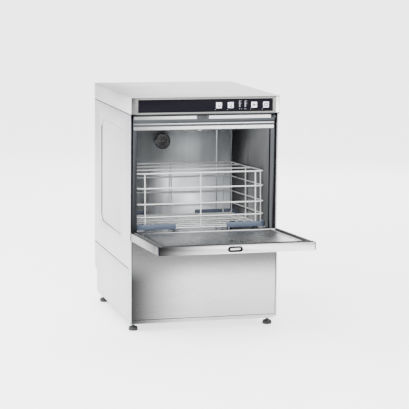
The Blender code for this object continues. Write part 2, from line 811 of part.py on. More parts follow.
def build_spray_arms():
    """Wash and rinse arms below and above, each pair on a post with a knob."""
    wash_height, rinse_height = WASH_ARM[2], RINSE_ARM[2]
    spray_arm("lower_wash_arm", WASH_ARM, LOWER_ARM_Z, "stainless")
    rinse_z = LOWER_ARM_Z + wash_height + ARM_STEP
    spray_arm("lower_rinse_arm", RINSE_ARM, rinse_z, "stainless")
    knob_bottom = rinse_z + rinse_height + 0.001
    knob_top = knob_bottom + 0.009
    collar = LOWER_ARM_Z - 0.001
    post = [
        (0, knob_top),
        (0.013, knob_top),
        (0.018, knob_bottom),
        (POST_RADIUS, knob_bottom),
        (POST_RADIUS, collar),
        (POST_RADIUS + 0.0012, collar),
        (POST_RADIUS + 0.0012, CHAMBER_FLOOR + GAP),
        (POST_RADIUS, CHAMBER_FLOOR + GAP),
        (POST_RADIUS, FLOOR_UNDERSIDE - 0.010),
        (0, FLOOR_UNDERSIDE - 0.010),
    ]
    turned("lower_arm_post", post, (0, SPRAY_Y, 0), "stainless", steps=20)

    wash_z = UPPER_ARM_Z - wash_height
    rinse_z = wash_z - ARM_STEP - rinse_height
    spray_arm("upper_wash_arm", WASH_ARM, wash_z, "stainless")
    spray_arm("upper_rinse_arm", RINSE_ARM, rinse_z, "stainless")
    knob_top = rinse_z - 0.001
    knob_bottom = knob_top - 0.009
    collar = UPPER_ARM_Z + 0.001
    post = [
        (0, CHAMBER_TOP + SHEET + 0.005),
        (POST_RADIUS, CHAMBER_TOP + SHEET + 0.005),
        (POST_RADIUS, CHAMBER_TOP - GAP),
        (POST_RADIUS + 0.0012, CHAMBER_TOP - GAP),
        (POST_RADIUS + 0.0012, collar),
        (POST_RADIUS, collar),
        (POST_RADIUS, knob_top),
        (0.018, knob_top),
        (0.013, knob_bottom),
        (0, knob_bottom),
    ]
    turned("upper_arm_post", post, (0, SPRAY_Y, 0), "stainless", steps=20)


def build_rack_rails():
    """Two angle rails that carry the basket inside the chamber, on the door's slope."""
    top, leg, shelf = SEAT, 0.020, 0.026
    for side, sign in (("left", -1), ("right", 1)):
        wall = sign * (OPENING_HALF - 0.0005)
        outline = [
            (wall, top),
            (wall - sign * shelf, top),
            (wall - sign * shelf, top - SHEET),
            (wall - sign * SHEET, top - SHEET),
            (wall - sign * SHEET, top - leg),
            (wall, top - leg),
        ]
        plate(f"{side}_rack_rail", [outline], (BASKET_IN - 0.004, CHAMBER_BACK - 0.007), "y", "stainless", SLOPE)


def build_machinery():
    """Wash pump, boiler, pipes and drain pump, in the space under the tank."""
    x, z = PUMP
    volute = [
        (PUMP_RADIUS, VOLUTE_DEPTH),
        (PUMP_RADIUS, 0.004),
        (PUMP_RADIUS - 0.004, 0.0),
        (PIPE_RADIUS, 0.0),
        (PIPE_RADIUS, 0.003),
        (PUMP_RADIUS - 0.005, 0.003),
        (PUMP_RADIUS - 0.003, 0.005),
        (PUMP_RADIUS - 0.003, VOLUTE_DEPTH),
    ]
    turned("wash_pump_housing", volute, (x, PUMP_FRONT, z), "grey_plastic", axis="y")
    impeller = [
        (0, 0.030),
        (0.030, 0.030),
        (0.034, 0.026),
        (0.034, 0.022),
        (0.012, 0.018),
        (0.008, 0.008),
        (0, 0.008),
    ]
    turned("pump_impeller", impeller, (x, PUMP_FRONT, z), "black_plastic", axis="y")
    motor_front = PUMP_FRONT + VOLUTE_DEPTH + GAP
    motor = cylinder_profile(PUMP_RADIUS - 0.002, 0, MOTOR_LENGTH, 0.006)
    turned("wash_pump_motor", motor, (x, motor_front, z), "motor", axis="y")

    sump_side = -SUMP_RADIUS - PIPE_GAP
    suction_end = PUMP_FRONT - GAP
    suction = smooth_route(
        [
            (sump_side, SUMP_Y, 0.150),
            (sump_side - 0.020, SUMP_Y, 0.147),
            (x + 0.020, SUMP_Y + 0.002, z + 0.008),
            (x, SUMP_Y + 0.022, z),
            (x, suction_end, z),
        ],
        3,
    )
    wire("suction_pipe", suction, PIPE_RADIUS - 0.0005, "rubber", sides=2)

    outlet_x = x + PUMP_RADIUS + PIPE_GAP
    outlet_y = PUMP_FRONT + VOLUTE_DEPTH / 2
    post_foot = FLOOR_UNDERSIDE - 0.010 - PIPE_GAP
    pressure = smooth_route(
        [
            (outlet_x, outlet_y, z),
            (outlet_x + 0.030, outlet_y + 0.004, z),
            (-0.014, SPRAY_Y - 0.006, z + 0.014),
            (0, SPRAY_Y, z + 0.042),
            (0, SPRAY_Y, post_foot),
        ],
        3,
    )
    wire("pressure_pipe", pressure, PIPE_RADIUS, "rubber", sides=2)

    riser_x, riser_y = 0.055, CHAMBER_BACK + 0.030
    over_z = CHAMBER_TOP + SHEET + 0.005 + GAP + PIPE_RADIUS
    riser = smooth_route(
        [
            (PIPE_RADIUS + 2 * PIPE_GAP, SPRAY_Y + 0.004, z + 0.052),
            (0.040, SPRAY_Y + 0.050, z + 0.052),
            (riser_x, CHAMBER_BACK - 0.010, z + 0.052),
            (riser_x, riser_y, z + 0.090),
            (riser_x, riser_y, CHAMBER_TOP - 0.050),
            (riser_x, CHAMBER_BACK + 0.010, over_z - 0.001),
            (0.030, SPRAY_Y + 0.090, over_z),
            (0, SPRAY_Y, over_z),
        ],
        3,
    )
    wire("riser_pipe", riser, PIPE_RADIUS - 0.002, "rubber", sides=2)

    x, z = BOILER
    front, back = BOILER_ENDS
    flange = 0.012
    neck = 0.030
    inner = BOILER_RADIUS - BOILER_WALL
    drum = [
        (0, back),
        (BOILER_RADIUS - 0.012, back),
        (BOILER_RADIUS, back - 0.010),
        (BOILER_RADIUS, front + 0.010),
        (BOILER_RADIUS - 0.012, front),
        (neck, front),
        (neck, front - flange),
        (neck - BOILER_WALL, front - flange),
        (neck - BOILER_WALL, front + BOILER_WALL),
        (inner - 0.012, front + BOILER_WALL),
        (inner, front + 0.012),
        (inner, back - 0.012),
        (inner - 0.012, back - BOILER_WALL),
        (0, back - BOILER_WALL),
    ]
    turned("boiler", drum, (x, 0, z), "stainless", axis="y")

    drain = cylinder_profile(0.026, 0, 0.060, 0.004)
    turned("drain_pump", drain, (0.010, 0.030, 0.086), "black_plastic", axis="y")
    drain_route = smooth_route(
        [
            (0.040, 0.060, 0.086),
            (0.060, 0.072, 0.078),
            (0.060, 0.200, 0.066),
            (0.040, DEPTH - 0.140, 0.066),
            (-0.045, DEPTH - 0.090, 0.069),
            (-0.060, DEPTH - 0.060, 0.070),
            (-0.060, DEPTH - REAR_STEP - SHEET - 2 * PIPE_GAP, 0.070),
        ],
        3,
    )
    wire("drain_hose", drain_route, PIPE_RADIUS - 0.001, "rubber", sides=2)


def build_rear_ports():
    """Water inlet, drain spigot and cable gland, all inside the rear step."""
    face = DEPTH - REAR_STEP + GAP
    depth = REAR_STEP - 0.004
    inlet = [
        (0.0085, depth),
        (0.0095, depth - 0.002),
        (0.0095, 0.010),
        (0.016, 0.010),
        (0.016, 0.0),
        (0, 0.0),
        (0, 0.006),
        (0.0065, 0.006),
        (0.0065, depth),
    ]
    turned("water_inlet", inlet, (0.070, face, 0.068), "brass", axis="y", steps=20)
    spigot = [(0.009, depth), (0.009, 0.004), (0.014, 0.004), (0.014, 0.0)]
    spigot += [(0, 0.0), (0, 0.004), (0.007, 0.006), (0.007, depth)]
    turned("drain_spigot", spigot, (-0.060, face, 0.070), "black_plastic", axis="y", steps=20)
    gland = [(0.0055, 0.022), (0.0095, 0.018), (0.0095, 0.008), (0.012, 0.008), (0.012, 0.0)]
    gland += [(0, 0.0), (0, 0.012), (0.0042, 0.014), (0.0042, 0.022)]
    turned("cable_gland", gland, (0.140, face, 0.068), "black_plastic", axis="y", steps=20)


# ---- Door, in the slope's frame: y runs from the hinge (0) to the door's front (-length) ----
def build_door():
    """Outer skin with the catch slot, pressed liner, seal and two hinge pins."""
    hinge = make_empty("door_hinge", (0, 0, 0), SLOPE)
    low = (-HALF, -DOOR_LENGTH, -HINGE_FROM_OUTSIDE)
    high = (HALF, 0, INSIDE_FACE)
    skin = shell("door_skin", low, high, SHEET, [(0, 0, 1)], "stainless", hinge)
    slot_z = (INSIDE_FACE - HINGE_FROM_OUTSIDE) / 2
    slot = rounded_rectangle(
        CATCH_X - CATCH_WIDTH / 2,
        CATCH_X + CATCH_WIDTH / 2,
        slot_z - CATCH_HEIGHT / 2,
        slot_z + CATCH_HEIGHT / 2,
        CATCH_HEIGHT * 0.48,
        4,
    )
    cutter = plate("catch_slot", [slot], (-DOOR_LENGTH - 0.004, -DOOR_LENGTH + 0.004), "y", None, hinge)
    boolean(skin, cutter)

    tray_gap = SHEET + GAP
    body_low = (-HALF + tray_gap, -DOOR_LENGTH + tray_gap + 0.006, -HINGE_FROM_OUTSIDE + tray_gap)
    body_high = (HALF - tray_gap, -tray_gap, INSIDE_FACE - GASKET)
    liner = shell("door_liner", body_low, body_high, SHEET, [(0, 0, -1)], "stainless_dark", hinge)
    field_low = (-OPENING_HALF + LINER_INSET - 0.012, -DOOR_LENGTH + 0.030, body_high[2] - 0.002)
    field_high = (OPENING_HALF - LINER_INSET + 0.012, -0.020, INSIDE_FACE - 0.0005)
    boolean(liner, box("liner_field", field_low, field_high, None, hinge), "UNION")
    for side in (-1, 1):
        inner = side * (BASKET_WIDTH / 2 - 0.014)
        outer = inner + side * LINER_RIB_WIDTH
        rib_low = (min(inner, outer), -DOOR_LENGTH + 0.034, INSIDE_FACE - 0.003)
        rib_high = (max(inner, outer), -0.024, SEAT)
        rib = box(f"liner_rib_{side}", rib_low, rib_high, None, hinge)
        boolean(liner, rib, "UNION")

    bottom = INSIDE_FACE - GASKET + GAP
    edge = INNER_HALF - SEAL_SIDE_GAP
    front = -DOOR_LENGTH + tray_gap + 0.008
    rear = -SEAL_REAR
    outline = [
        (-edge, rear),
        (-edge, front),
        (edge, front),
        (edge, rear),
        (edge - GASKET_WIDTH, rear),
        (edge - GASKET_WIDTH, front + GASKET_WIDTH),
        (-edge + GASKET_WIDTH, front + GASKET_WIDTH),
        (-edge + GASKET_WIDTH, rear),
    ]
    plate("door_gasket", [outline], (bottom, INSIDE_FACE + GASKET_RISE), "z", "rubber", hinge)


def build_hinge_pins():
    """The fixed pins on the cabinet that the door turns on."""
    for side, sign in (("left", -1), ("right", 1)):
        left, right = sorted((sign * (FRAME_HALF - 0.0145), sign * (FRAME_HALF - 0.001)))
        block_low = (left, 0.0135, HINGE_Z - 0.003)
        block_high = (right, FRAME_FRONT - GAP, HINGE_Z + 0.008)
        box(f"{side}_hinge_block", block_low, block_high, "grey_plastic")


# ---- Basket, in the slope's frame: y is 0 at its front edge and z is 0 at its foot -----------
def ring_points(half_width, front, back, z):
    """A rounded rectangle at one height."""
    loop = rounded_rectangle(-half_width, half_width, front, back, CORNER_RADIUS, 4)
    return [(x, y, z) for x, y in loop]


def build_basket():
    """A wire basket: five rings, the wires that pass under them, floor wires and dividers."""
    holder = make_empty("basket_slide", (0, BASKET_IN, SEAT + BASKET_LIFT), SLOPE)
    skin = GUARD_THICKNESS + GAP
    half = BASKET_WIDTH / 2 - skin - WIRE
    front, back = skin + WIRE, BASKET_DEPTH - skin - WIRE
    rings = [
        wire(f"ring_{i}", ring_points(half, front, back, z), WIRE, None, holder, closed=True)
        for i, z in enumerate(RING_HEIGHTS)
    ]
    bars = []
    inset = WIRE * 1.3
    top = RING_HEIGHTS[-1] + WIRE * 0.6
    floor_low, floor_high = RING_HEIGHTS[0] + WIRE * 0.3, RING_HEIGHTS[0] + WIRE * 1.7
    width = 2 * half
    depth = back - front
    for share in (-0.43, 0.0, 0.43):
        x = share * width
        path = [(x, front + inset, top), (x, front + inset, floor_low)]
        path += [(x, back - inset, floor_low), (x, back - inset, top)]
        bars.append(path)
        y = (front + back) / 2 + share * depth
        path = [(-half + inset, y, top), (-half + inset, y, floor_high)]
        path += [(half - inset, y, floor_high), (half - inset, y, top)]
        bars.append(path)
    for share in (-0.32, -0.21, -0.105, 0.105, 0.21, 0.32):
        x = share * width
        bars.append([(x, front - 0.0002, floor_low), (x, back + 0.0002, floor_low)])
        y = (front + back) / 2 + share * depth
        bars.append([(-half - 0.0002, y, floor_high), (half + 0.0002, y, floor_high)])
    divider_z = RING_HEIGHTS[-1] + WIRE * 0.5
    for share in (0.36, 0.69):
        y = front + share * depth
        bars.append([(-half - 0.0002, y, divider_z), (half + 0.0002, y, divider_z)])
    joined = make_collection("basket_wires")
    joined.hide_render = True
    wires = rings[1:] + [wire(f"bar_{i}", path, WIRE * 0.92, None, holder) for i, path in enumerate(bars)]
    for piece in wires:
        CUTTERS.objects.unlink(piece)
        joined.objects.link(piece)
        piece.hide_render = True
    basket = rings[0]
    basket.name = "basket"
    CUTTERS.objects.unlink(basket)
    PARTS.objects.link(basket)
    basket.hide_render = False
    basket.display_type = "TEXTURED"
    basket.data.materials.append(MATERIALS["white_coating"])
    union = basket.modifiers.new("join", "BOOLEAN")
    union.operation = "UNION"
    union.operand_type = "COLLECTION"
    union.collection = joined
    union.solver = "EXACT"
    build_guards(holder)


def build_guards(holder):
    """Plastic guards round the basket's four lower corners."""
    half = BASKET_WIDTH / 2
    outer_radius = CORNER_RADIUS + WIRE + GUARD_THICKNESS
    steps = 5
    for end in ("front", "rear"):
        for side, sign in (("left", -1), ("right", 1)):
            corner_y = 0.0 if end == "front" else BASKET_DEPTH
            inward = 1 if end == "front" else -1

            def arc(radius):
                cx = sign * (half - outer_radius)
                cy = corner_y + inward * outer_radius
                turns = [math.pi / 2 * i / steps for i in range(steps + 1)]
                return [
                    (cx + sign * radius * math.sin(a), cy - inward * radius * math.cos(a))
                    for a in turns
                ]

            inner_radius = outer_radius - GUARD_THICKNESS
            reach_x = sign * (half - GUARD_ARM)
            reach_y = corner_y + inward * GUARD_ARM * 0.6
            outer = [(reach_x, corner_y), *arc(outer_radius), (sign * half, reach_y)]
            inner = [(reach_x, corner_y + inward * GUARD_THICKNESS), *arc(inner_radius)]
            inner.append((sign * (half - GUARD_THICKNESS), reach_y))
            outline = outer + inner[::-1]
            name = f"basket_guard_{end}_{side}"
            plate(name, [outline], (0.0005, GUARD_HEIGHT), "z", "guard_plastic", holder)


def build_all():
    """Builds every piece in order."""
    build_base_frame()
    build_feet()
    build_sides()
    build_rear()
    build_lower_front()
    build_top_cover()
    build_fascia()
    build_front_frame()
    build_chamber()
    build_tank_furniture()
    build_spray_arms()
    build_rack_rails()
    build_machinery()
    build_rear_ports()
    build_door()
    build_hinge_pins()
    build_basket()
    smooth_all()


build_all()
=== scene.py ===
"""Finished looks of a front-loading under-counter glass washer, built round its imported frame.

Every place comes from the frame: node boxes, the hinge's place and the open door's slope. Each
sub-assembly is a class that holds its own sizes, builds its pieces and dresses its nodes, and
each finish is a frozen dataclass that makes one procedural material. Lengths are in metres.
"""

import json  # noqa: E402
import logging  # noqa: E402
import math  # noqa: E402
from dataclasses import dataclass, field  # noqa: E402
from enum import Enum  # noqa: E402
from typing import Iterable, Sequence  # noqa: E402

import bmesh  # noqa: E402
import bpy  # noqa: E402
from mathutils import Matrix, Vector  # noqa: E402


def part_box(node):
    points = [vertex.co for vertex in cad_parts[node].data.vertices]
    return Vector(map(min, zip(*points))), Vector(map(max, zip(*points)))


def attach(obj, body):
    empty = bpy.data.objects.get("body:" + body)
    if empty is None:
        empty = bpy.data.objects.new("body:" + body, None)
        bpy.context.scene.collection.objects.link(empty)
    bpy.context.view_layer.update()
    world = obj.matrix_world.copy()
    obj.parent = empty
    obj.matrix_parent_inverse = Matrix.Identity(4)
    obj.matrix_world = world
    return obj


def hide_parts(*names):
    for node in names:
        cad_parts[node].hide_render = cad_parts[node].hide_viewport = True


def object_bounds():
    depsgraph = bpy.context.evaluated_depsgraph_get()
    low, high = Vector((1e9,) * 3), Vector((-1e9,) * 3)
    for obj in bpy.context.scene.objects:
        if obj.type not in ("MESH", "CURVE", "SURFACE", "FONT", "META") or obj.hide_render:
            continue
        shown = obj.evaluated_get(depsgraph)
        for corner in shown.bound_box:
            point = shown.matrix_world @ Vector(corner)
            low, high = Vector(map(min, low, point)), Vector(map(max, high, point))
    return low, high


log = logging.getLogger("glass_washer")
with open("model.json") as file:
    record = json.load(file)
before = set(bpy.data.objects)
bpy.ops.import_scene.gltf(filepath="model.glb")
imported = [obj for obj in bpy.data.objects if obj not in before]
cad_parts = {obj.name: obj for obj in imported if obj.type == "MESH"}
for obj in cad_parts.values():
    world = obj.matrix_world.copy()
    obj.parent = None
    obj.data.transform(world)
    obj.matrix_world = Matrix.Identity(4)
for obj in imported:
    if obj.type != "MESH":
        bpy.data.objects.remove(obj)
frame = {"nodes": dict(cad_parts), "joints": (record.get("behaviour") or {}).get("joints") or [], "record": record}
cad_low, cad_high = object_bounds()

Colour = tuple[float, float, float]
Point = tuple[float, float, float]
Loop = list[tuple[float, float]]

MERGE = 1e-5  # points nearer than this become one
# The painted dark reflection at the steels' left ends starts here and lightens to their full colour further right.
LEFT_END = -0.235  # just past the cabinet's left side, where a sheet's tone starts to change
# The painted shade on the tank's right wall blends in across this span.
RIGHT_WALL = (0.2015, 0.2045)  # across the face of the tank's right wall


class Grain(Enum):
    """The way a sheet's brushing runs, as the stretch of its pattern along x, y and z."""

    ALONG_X = (0.03, 1.0, 1.0)
    ALONG_Y = (1.0, 0.03, 1.0)
    ALONG_Z = (1.0, 1.0, 0.03)
    NONE = (1.0, 1.0, 1.0)


class Slot(Enum):
    """The record's material slots."""

    OUTER_STEEL = "outer_steel"
    TANK_STEEL = "tank_steel"
    FASCIA = "fascia_black"
    BUTTON = "button_white"
    DISPLAY = "display"
    BOARD = "circuit_board"
    RUBBER = "black_rubber"
    BLACK_PLASTIC = "black_plastic"
    WHITE_WIRE = "white_wire"
    GUARD = "guard_plastic"
    GREY_PLASTIC = "grey_plastic"
    MOTOR = "motor_case"
    BRASS = "brass"


class Icon(Enum):
    """The plain sign on each push button."""

    SHORT_CYCLE = "program_button_short"
    LONG_CYCLE = "program_button_long"
    START = "start_button"
    POWER = "power_button"


# ---- Materials ------------------------------------------------------------------------------
class Bench:
    """One material's node tree, with short calls for the nodes that the finishes share."""

    def __init__(self, name: str) -> None:
        """Makes an empty material with a Principled shader and object coordinates.

        Args:
            name: The material's name.
        """
        self.material = bpy.data.materials.new(name)
        self.material.use_nodes = True
        self.tree = self.material.node_tree
        self.tree.nodes.clear()
        self.output = self.add("ShaderNodeOutputMaterial")
        self.shader = self.add("ShaderNodeBsdfPrincipled")
        self.tree.links.new(self.shader.outputs["BSDF"], self.output.inputs["Surface"])
        self.place = self.add("ShaderNodeTexCoord").outputs["Object"]

    def add(self, kind: str) -> bpy.types.Node:
        """Adds a node of this kind."""
        return self.tree.nodes.new(kind)

    def feed(self, socket: bpy.types.NodeSocket, value: object) -> None:
        """Links a socket to another, or sets its value.

        Args:
            socket: The input.
            value: An output socket, a number or a colour.
        """
        if isinstance(value, bpy.types.NodeSocket):
            self.tree.links.new(value, socket)
        elif isinstance(value, tuple) and len(value) == 3 and socket.type == "RGBA":
            socket.default_value = (*value, 1.0)
        else:
            socket.default_value = value

    def fixed(self, **values: object) -> None:
        """Sets constants on the shader's own sockets, with _ for each space in a name."""
        for name, value in values.items():
            self.feed(self.shader.inputs[name.replace("_", " ")], value)

    def stretched(self, stretch: Sequence[float]) -> bpy.types.NodeSocket:
        """Object coordinates scaled along each axis.

        Args:
            stretch: The scale along x, y and z.

        Returns:
            The vector output.
        """
        mapping = self.add("ShaderNodeMapping")
        self.feed(mapping.inputs["Vector"], self.place)
        mapping.inputs["Scale"].default_value = stretch
        return mapping.outputs["Vector"]

    def noise(
        self, scale: float, stretch: Sequence[float] = Grain.NONE.value, detail: float = 3.0, rough: float = 0.5
    ) -> bpy.types.NodeSocket:
        """Fractal noise from 0 to 1.

        Args:
            scale: Features per metre.
            stretch: The pattern's scale along x, y and z.
            detail: Octaves.
            rough: Each octave's share of the one before.

        Returns:
            The factor output.
        """
        node = self.add("ShaderNodeTexNoise")
        self.feed(node.inputs["Vector"], self.stretched(stretch))
        node.inputs["Scale"].default_value = scale
        node.inputs["Detail"].default_value = detail
        node.inputs["Roughness"].default_value = rough
        return node.outputs[0]

    def cells(self, scale: float, stretch: Sequence[float] = Grain.NONE.value) -> bpy.types.NodeSocket:
        """Distance to the nearest cell's centre, as spots and pits need.

        Args:
            scale: Cells per metre.
            stretch: The pattern's scale along x, y and z.

        Returns:
            The distance output.
        """
        node = self.add("ShaderNodeTexVoronoi")
        self.feed(node.inputs["Vector"], self.stretched(stretch))
        node.inputs["Scale"].default_value = scale
        return node.outputs["Distance"]

    def span(
        self, value: bpy.types.NodeSocket, low: float, high: float, start: float = 0.0, end: float = 1.0
    ) -> bpy.types.NodeSocket:
        """Maps start..end to low..high, clamped.

        Args:
            value: The input.
            low: The result at start.
            high: The result at end.
            start: The input that gives low.
            end: The input that gives high.

        Returns:
            The mapped output.
        """
        node = self.add("ShaderNodeMapRange")
        self.feed(node.inputs["Value"], value)
        for name, number in (("From Min", start), ("From Max", end), ("To Min", low), ("To Max", high)):
            node.inputs[name].default_value = number
        return node.outputs[0]

    def math(self, operation: str, first: object, second: object) -> bpy.types.NodeSocket:
        """One math node on two values."""
        node = self.add("ShaderNodeMath")
        node.operation = operation
        self.feed(node.inputs[0], first)
        self.feed(node.inputs[1], second)
        return node.outputs[0]

    def mix(self, factor: object, first: object, second: object) -> bpy.types.NodeSocket:
        """A colour between two others.

        Args:
            factor: 0 gives the first and 1 the second.
            first: A colour or an output.
            second: A colour or an output.

        Returns:
            The colour output.
        """
        node = self.add("ShaderNodeMix")
        node.data_type = "RGBA"
        self.feed(node.inputs[0], factor)
        self.feed(node.inputs[6], first)
        self.feed(node.inputs[7], second)
        return node.outputs[2]

    def along(self, axis: str, start: float, end: float) -> bpy.types.NodeSocket:
        """How far along an axis a point lies, with soft ends.

        Args:
            axis: X, Y or Z.
            start: Where the result is 0.
            end: Where it is 1.

        Returns:
            The factor output.
        """
        split = self.add("ShaderNodeSeparateXYZ")
        self.feed(split.inputs[0], self.place)
        ramp = self.add("ShaderNodeMapRange")
        ramp.interpolation_type = "SMOOTHSTEP"
        self.feed(ramp.inputs["Value"], split.outputs[axis])
        ramp.inputs["From Min"].default_value = start
        ramp.inputs["From Max"].default_value = end
        return ramp.outputs[0]

    def edges(self, radius: float) -> bpy.types.NodeSocket:
        """A mask that is 1 on outer edges and 0 on flats, where the finishes lighten the edges.

        Args:
            radius: The edge band's width.

        Returns:
            The mask output.
        """
        bevel = self.add("ShaderNodeBevel")
        bevel.samples = 4
        bevel.inputs["Radius"].default_value = radius
        dot = self.add("ShaderNodeVectorMath")
        dot.operation = "DOT_PRODUCT"
        self.feed(dot.inputs[0], bevel.outputs["Normal"])
        self.feed(dot.inputs[1], self.add("ShaderNodeNewGeometry").outputs["Normal"])
        return self.span(dot.outputs["Value"], 1.0, 0.0, 0.80, 0.995)

    def bump(self, *layers: tuple[bpy.types.NodeSocket, float, float]) -> None:
        """Stacks bumps and links them to the shader.

        Args:
            layers: Height, strength and distance of each, from the first to the last.
        """
        normal = None
        for height, strength, distance in layers:
            node = self.add("ShaderNodeBump")
            node.inputs["Strength"].default_value = strength
            node.inputs["Distance"].default_value = distance
            self.feed(node.inputs["Height"], height)
            if normal is not None:
                self.feed(node.inputs["Normal"], normal)
            normal = node.outputs["Normal"]
        self.feed(self.shader.inputs["Normal"], normal)


def tinted(colour: Colour, gain: float) -> Colour:
    """The colour made lighter or darker."""
    return tuple(min(1.0, channel * gain) for channel in colour)


@dataclass(frozen=True)
class Finish:
    """What every finish has: a name and a colour."""

    name: str
    colour: Colour

    def material(self) -> bpy.types.Material:
        """The finish's material, made once."""
        return bpy.data.materials.get(self.name) or self.make(Bench(self.name))

    def make(self, bench: Bench) -> bpy.types.Material:
        """Fills the bench's tree.

        Args:
            bench: An empty tree.

        Returns:
            The finished material.
        """
        raise NotImplementedError


@dataclass(frozen=True)
class BrushedSteel(Finish):
    """Stainless sheet with fine brushing, long faint streaks, hand marks, edges lightened by wear, and painted shade
    set by position.

    Attributes:
        roughness: The sheet's middle roughness.
        grain: The way its brushing runs.
        depth: How much the brushing changes the roughness.
        clouding: How much the hand marks change it.
        painted_left_shade: The tone at the sheet's left end, as a share of its colour: a painted dark reflection.
        painted_shade_stop: Where along x the full colour is reached.
        grazing: The tint at a grazing angle.
        shade: Two heights and the tone above the second, as a share of the colour: painted shade.
    """

    roughness: float = 0.30
    grain: Grain = Grain.ALONG_X
    depth: float = 0.10
    clouding: float = 0.05
    painted_left_shade: float = 1.0
    painted_shade_stop: float = -0.06
    grazing: float = 1.0
    shade: tuple[float, float, float] = (0.0, 1.0, 1.0)

    def make(self, bench: Bench) -> bpy.types.Material:
        """Builds the brushing from three scales of stretched noise."""
        way = self.grain.value
        hair = bench.noise(900.0, way, 2.0, 0.6)
        streak = bench.noise(140.0, tuple(share if share == 1.0 else share * 0.4 for share in way), 3.0)
        cloud = bench.noise(7.0, detail=4.0)
        smudge = bench.span(bench.noise(22.0, detail=5.0, rough=0.65), 0.0, 1.0, 0.52, 0.72)
        edge_mask = bench.edges(0.0012)
        bench.fixed(Metallic=1.0, Specular_Tint=(self.grazing, self.grazing, self.grazing))
        base = bench.mix(streak, tinted(self.colour, 0.93), tinted(self.colour, 1.05))
        base = bench.mix(bench.span(cloud, 0.0, 0.35, 0.35, 0.7), base, tinted(self.colour, 0.90))
        base = bench.mix(bench.math("MULTIPLY", edge_mask, 0.5), base, tinted(self.colour, 1.15))
        # Painted dark reflection: the colour darkens towards the sheet's left end.
        if self.painted_left_shade < 1.0:
            lit = bench.along("X", LEFT_END, self.painted_shade_stop)
            base = bench.mix(lit, tinted(self.colour, self.painted_left_shade), base)
        # Painted shade: the colour darkens above the second height.
        start, end, gain = self.shade
        if gain < 1.0:
            base = bench.mix(bench.along("Z", start, end), base, tinted(self.colour, gain))
        bench.feed(bench.shader.inputs["Base Color"], base)
        rough = bench.span(hair, self.roughness - self.depth * 0.5, self.roughness + self.depth * 0.5, 0.3, 0.7)
        rough = bench.math("ADD", rough, bench.span(cloud, -self.clouding, self.clouding, 0.3, 0.7))
        rough = bench.math("ADD", rough, bench.math("MULTIPLY", smudge, self.clouding * 0.8))
        bench.feed(bench.shader.inputs["Roughness"], rough)
        bench.bump((streak, 0.05, 0.0006), (hair, 0.12, 0.00012))
        return bench.material


@dataclass(frozen=True)
class TankSteel(Finish):
    """Deep-drawn tank sheet: smooth and a little wavy, with dried runs and drop marks.

    Attributes:
        roughness: The sheet's middle roughness.
        painted_side_shade: The right wall's tone, as a share of the colour: painted shade on that wall.
    """

    roughness: float = 0.27
    painted_side_shade: float = 1.0

    def make(self, bench: Bench) -> bpy.types.Material:
        """Builds the waves of the drawn sheet and the marks that water leaves."""
        wave = bench.noise(5.0, detail=1.0)
        runs = bench.noise(60.0, (1.0, 1.0, 0.10), 4.0, 0.6)
        fine = bench.noise(500.0, Grain.ALONG_Z.value, 2.0)
        drops = bench.span(bench.cells(75.0, (1.0, 1.0, 0.8)), 1.0, 0.0, 0.16, 0.26)
        chance = bench.span(bench.noise(16.0), 0.0, 0.6, 0.56, 0.70)
        scale = bench.math("MULTIPLY", drops, chance)
        bench.fixed(Metallic=1.0, Specular_Tint=(0.30, 0.31, 0.32))
        base = bench.mix(bench.span(runs, 0.0, 1.0, 0.35, 0.65), tinted(self.colour, 0.96), tinted(self.colour, 1.03))
        base = bench.mix(bench.math("MULTIPLY", scale, 0.35), base, tinted(self.colour, 1.25))
        # Painted shade: the tank's right wall is darker than the rest of the sheet.
        if self.painted_side_shade < 1.0:
            base = bench.mix(bench.along("X", *RIGHT_WALL), base, tinted(self.colour, self.painted_side_shade))
        bench.feed(bench.shader.inputs["Base Color"], base)
        rough = bench.span(runs, self.roughness - 0.05, self.roughness + 0.07, 0.3, 0.7)
        rough = bench.math("ADD", rough, bench.math("MULTIPLY", scale, 0.15))
        bench.feed(bench.shader.inputs["Roughness"], rough)
        bench.bump((wave, 0.12, 0.010), (fine, 0.05, 0.0002))
        return bench.material


@dataclass(frozen=True)
class Moulding(Finish):
    """Moulded plastic with a spark-eroded grain, faint mottling and lightened edges: wear, and on the vent a painted
    highlight.
    """

    roughness: float = 0.45
    grain_scale: float = 1400.0
    grain_depth: float = 0.00012
    edge_wear_and_highlight: float = 1.25

    def make(self, bench: Bench) -> bpy.types.Material:
        """Builds the grain, the mottling and the rubbed edges."""
        grain = bench.noise(self.grain_scale, detail=2.0, rough=0.6)
        mottle = bench.noise(35.0, detail=4.0)
        scuff = bench.span(bench.noise(90.0, (1.0, 0.25, 1.0), 3.0), 0.0, 1.0, 0.60, 0.74)
        edge_mask = bench.edges(0.0008)
        base = bench.mix(mottle, tinted(self.colour, 0.90), tinted(self.colour, 1.08))
        # Lighter edges: wear on most mouldings, and on the vent a painted highlight on its rings.
        base = bench.mix(bench.math("MULTIPLY", edge_mask, 0.45), base, tinted(self.colour, self.edge_wear_and_highlight))
        bench.feed(bench.shader.inputs["Base Color"], base)
        rough = bench.span(mottle, self.roughness - 0.05, self.roughness + 0.06, 0.3, 0.7)
        rough = bench.math("ADD", rough, bench.math("MULTIPLY", scuff, 0.10))
        bench.feed(bench.shader.inputs["Roughness"], rough)
        bench.bump((mottle, 0.05, 0.0010), (grain, 0.30, self.grain_depth))
        return bench.material


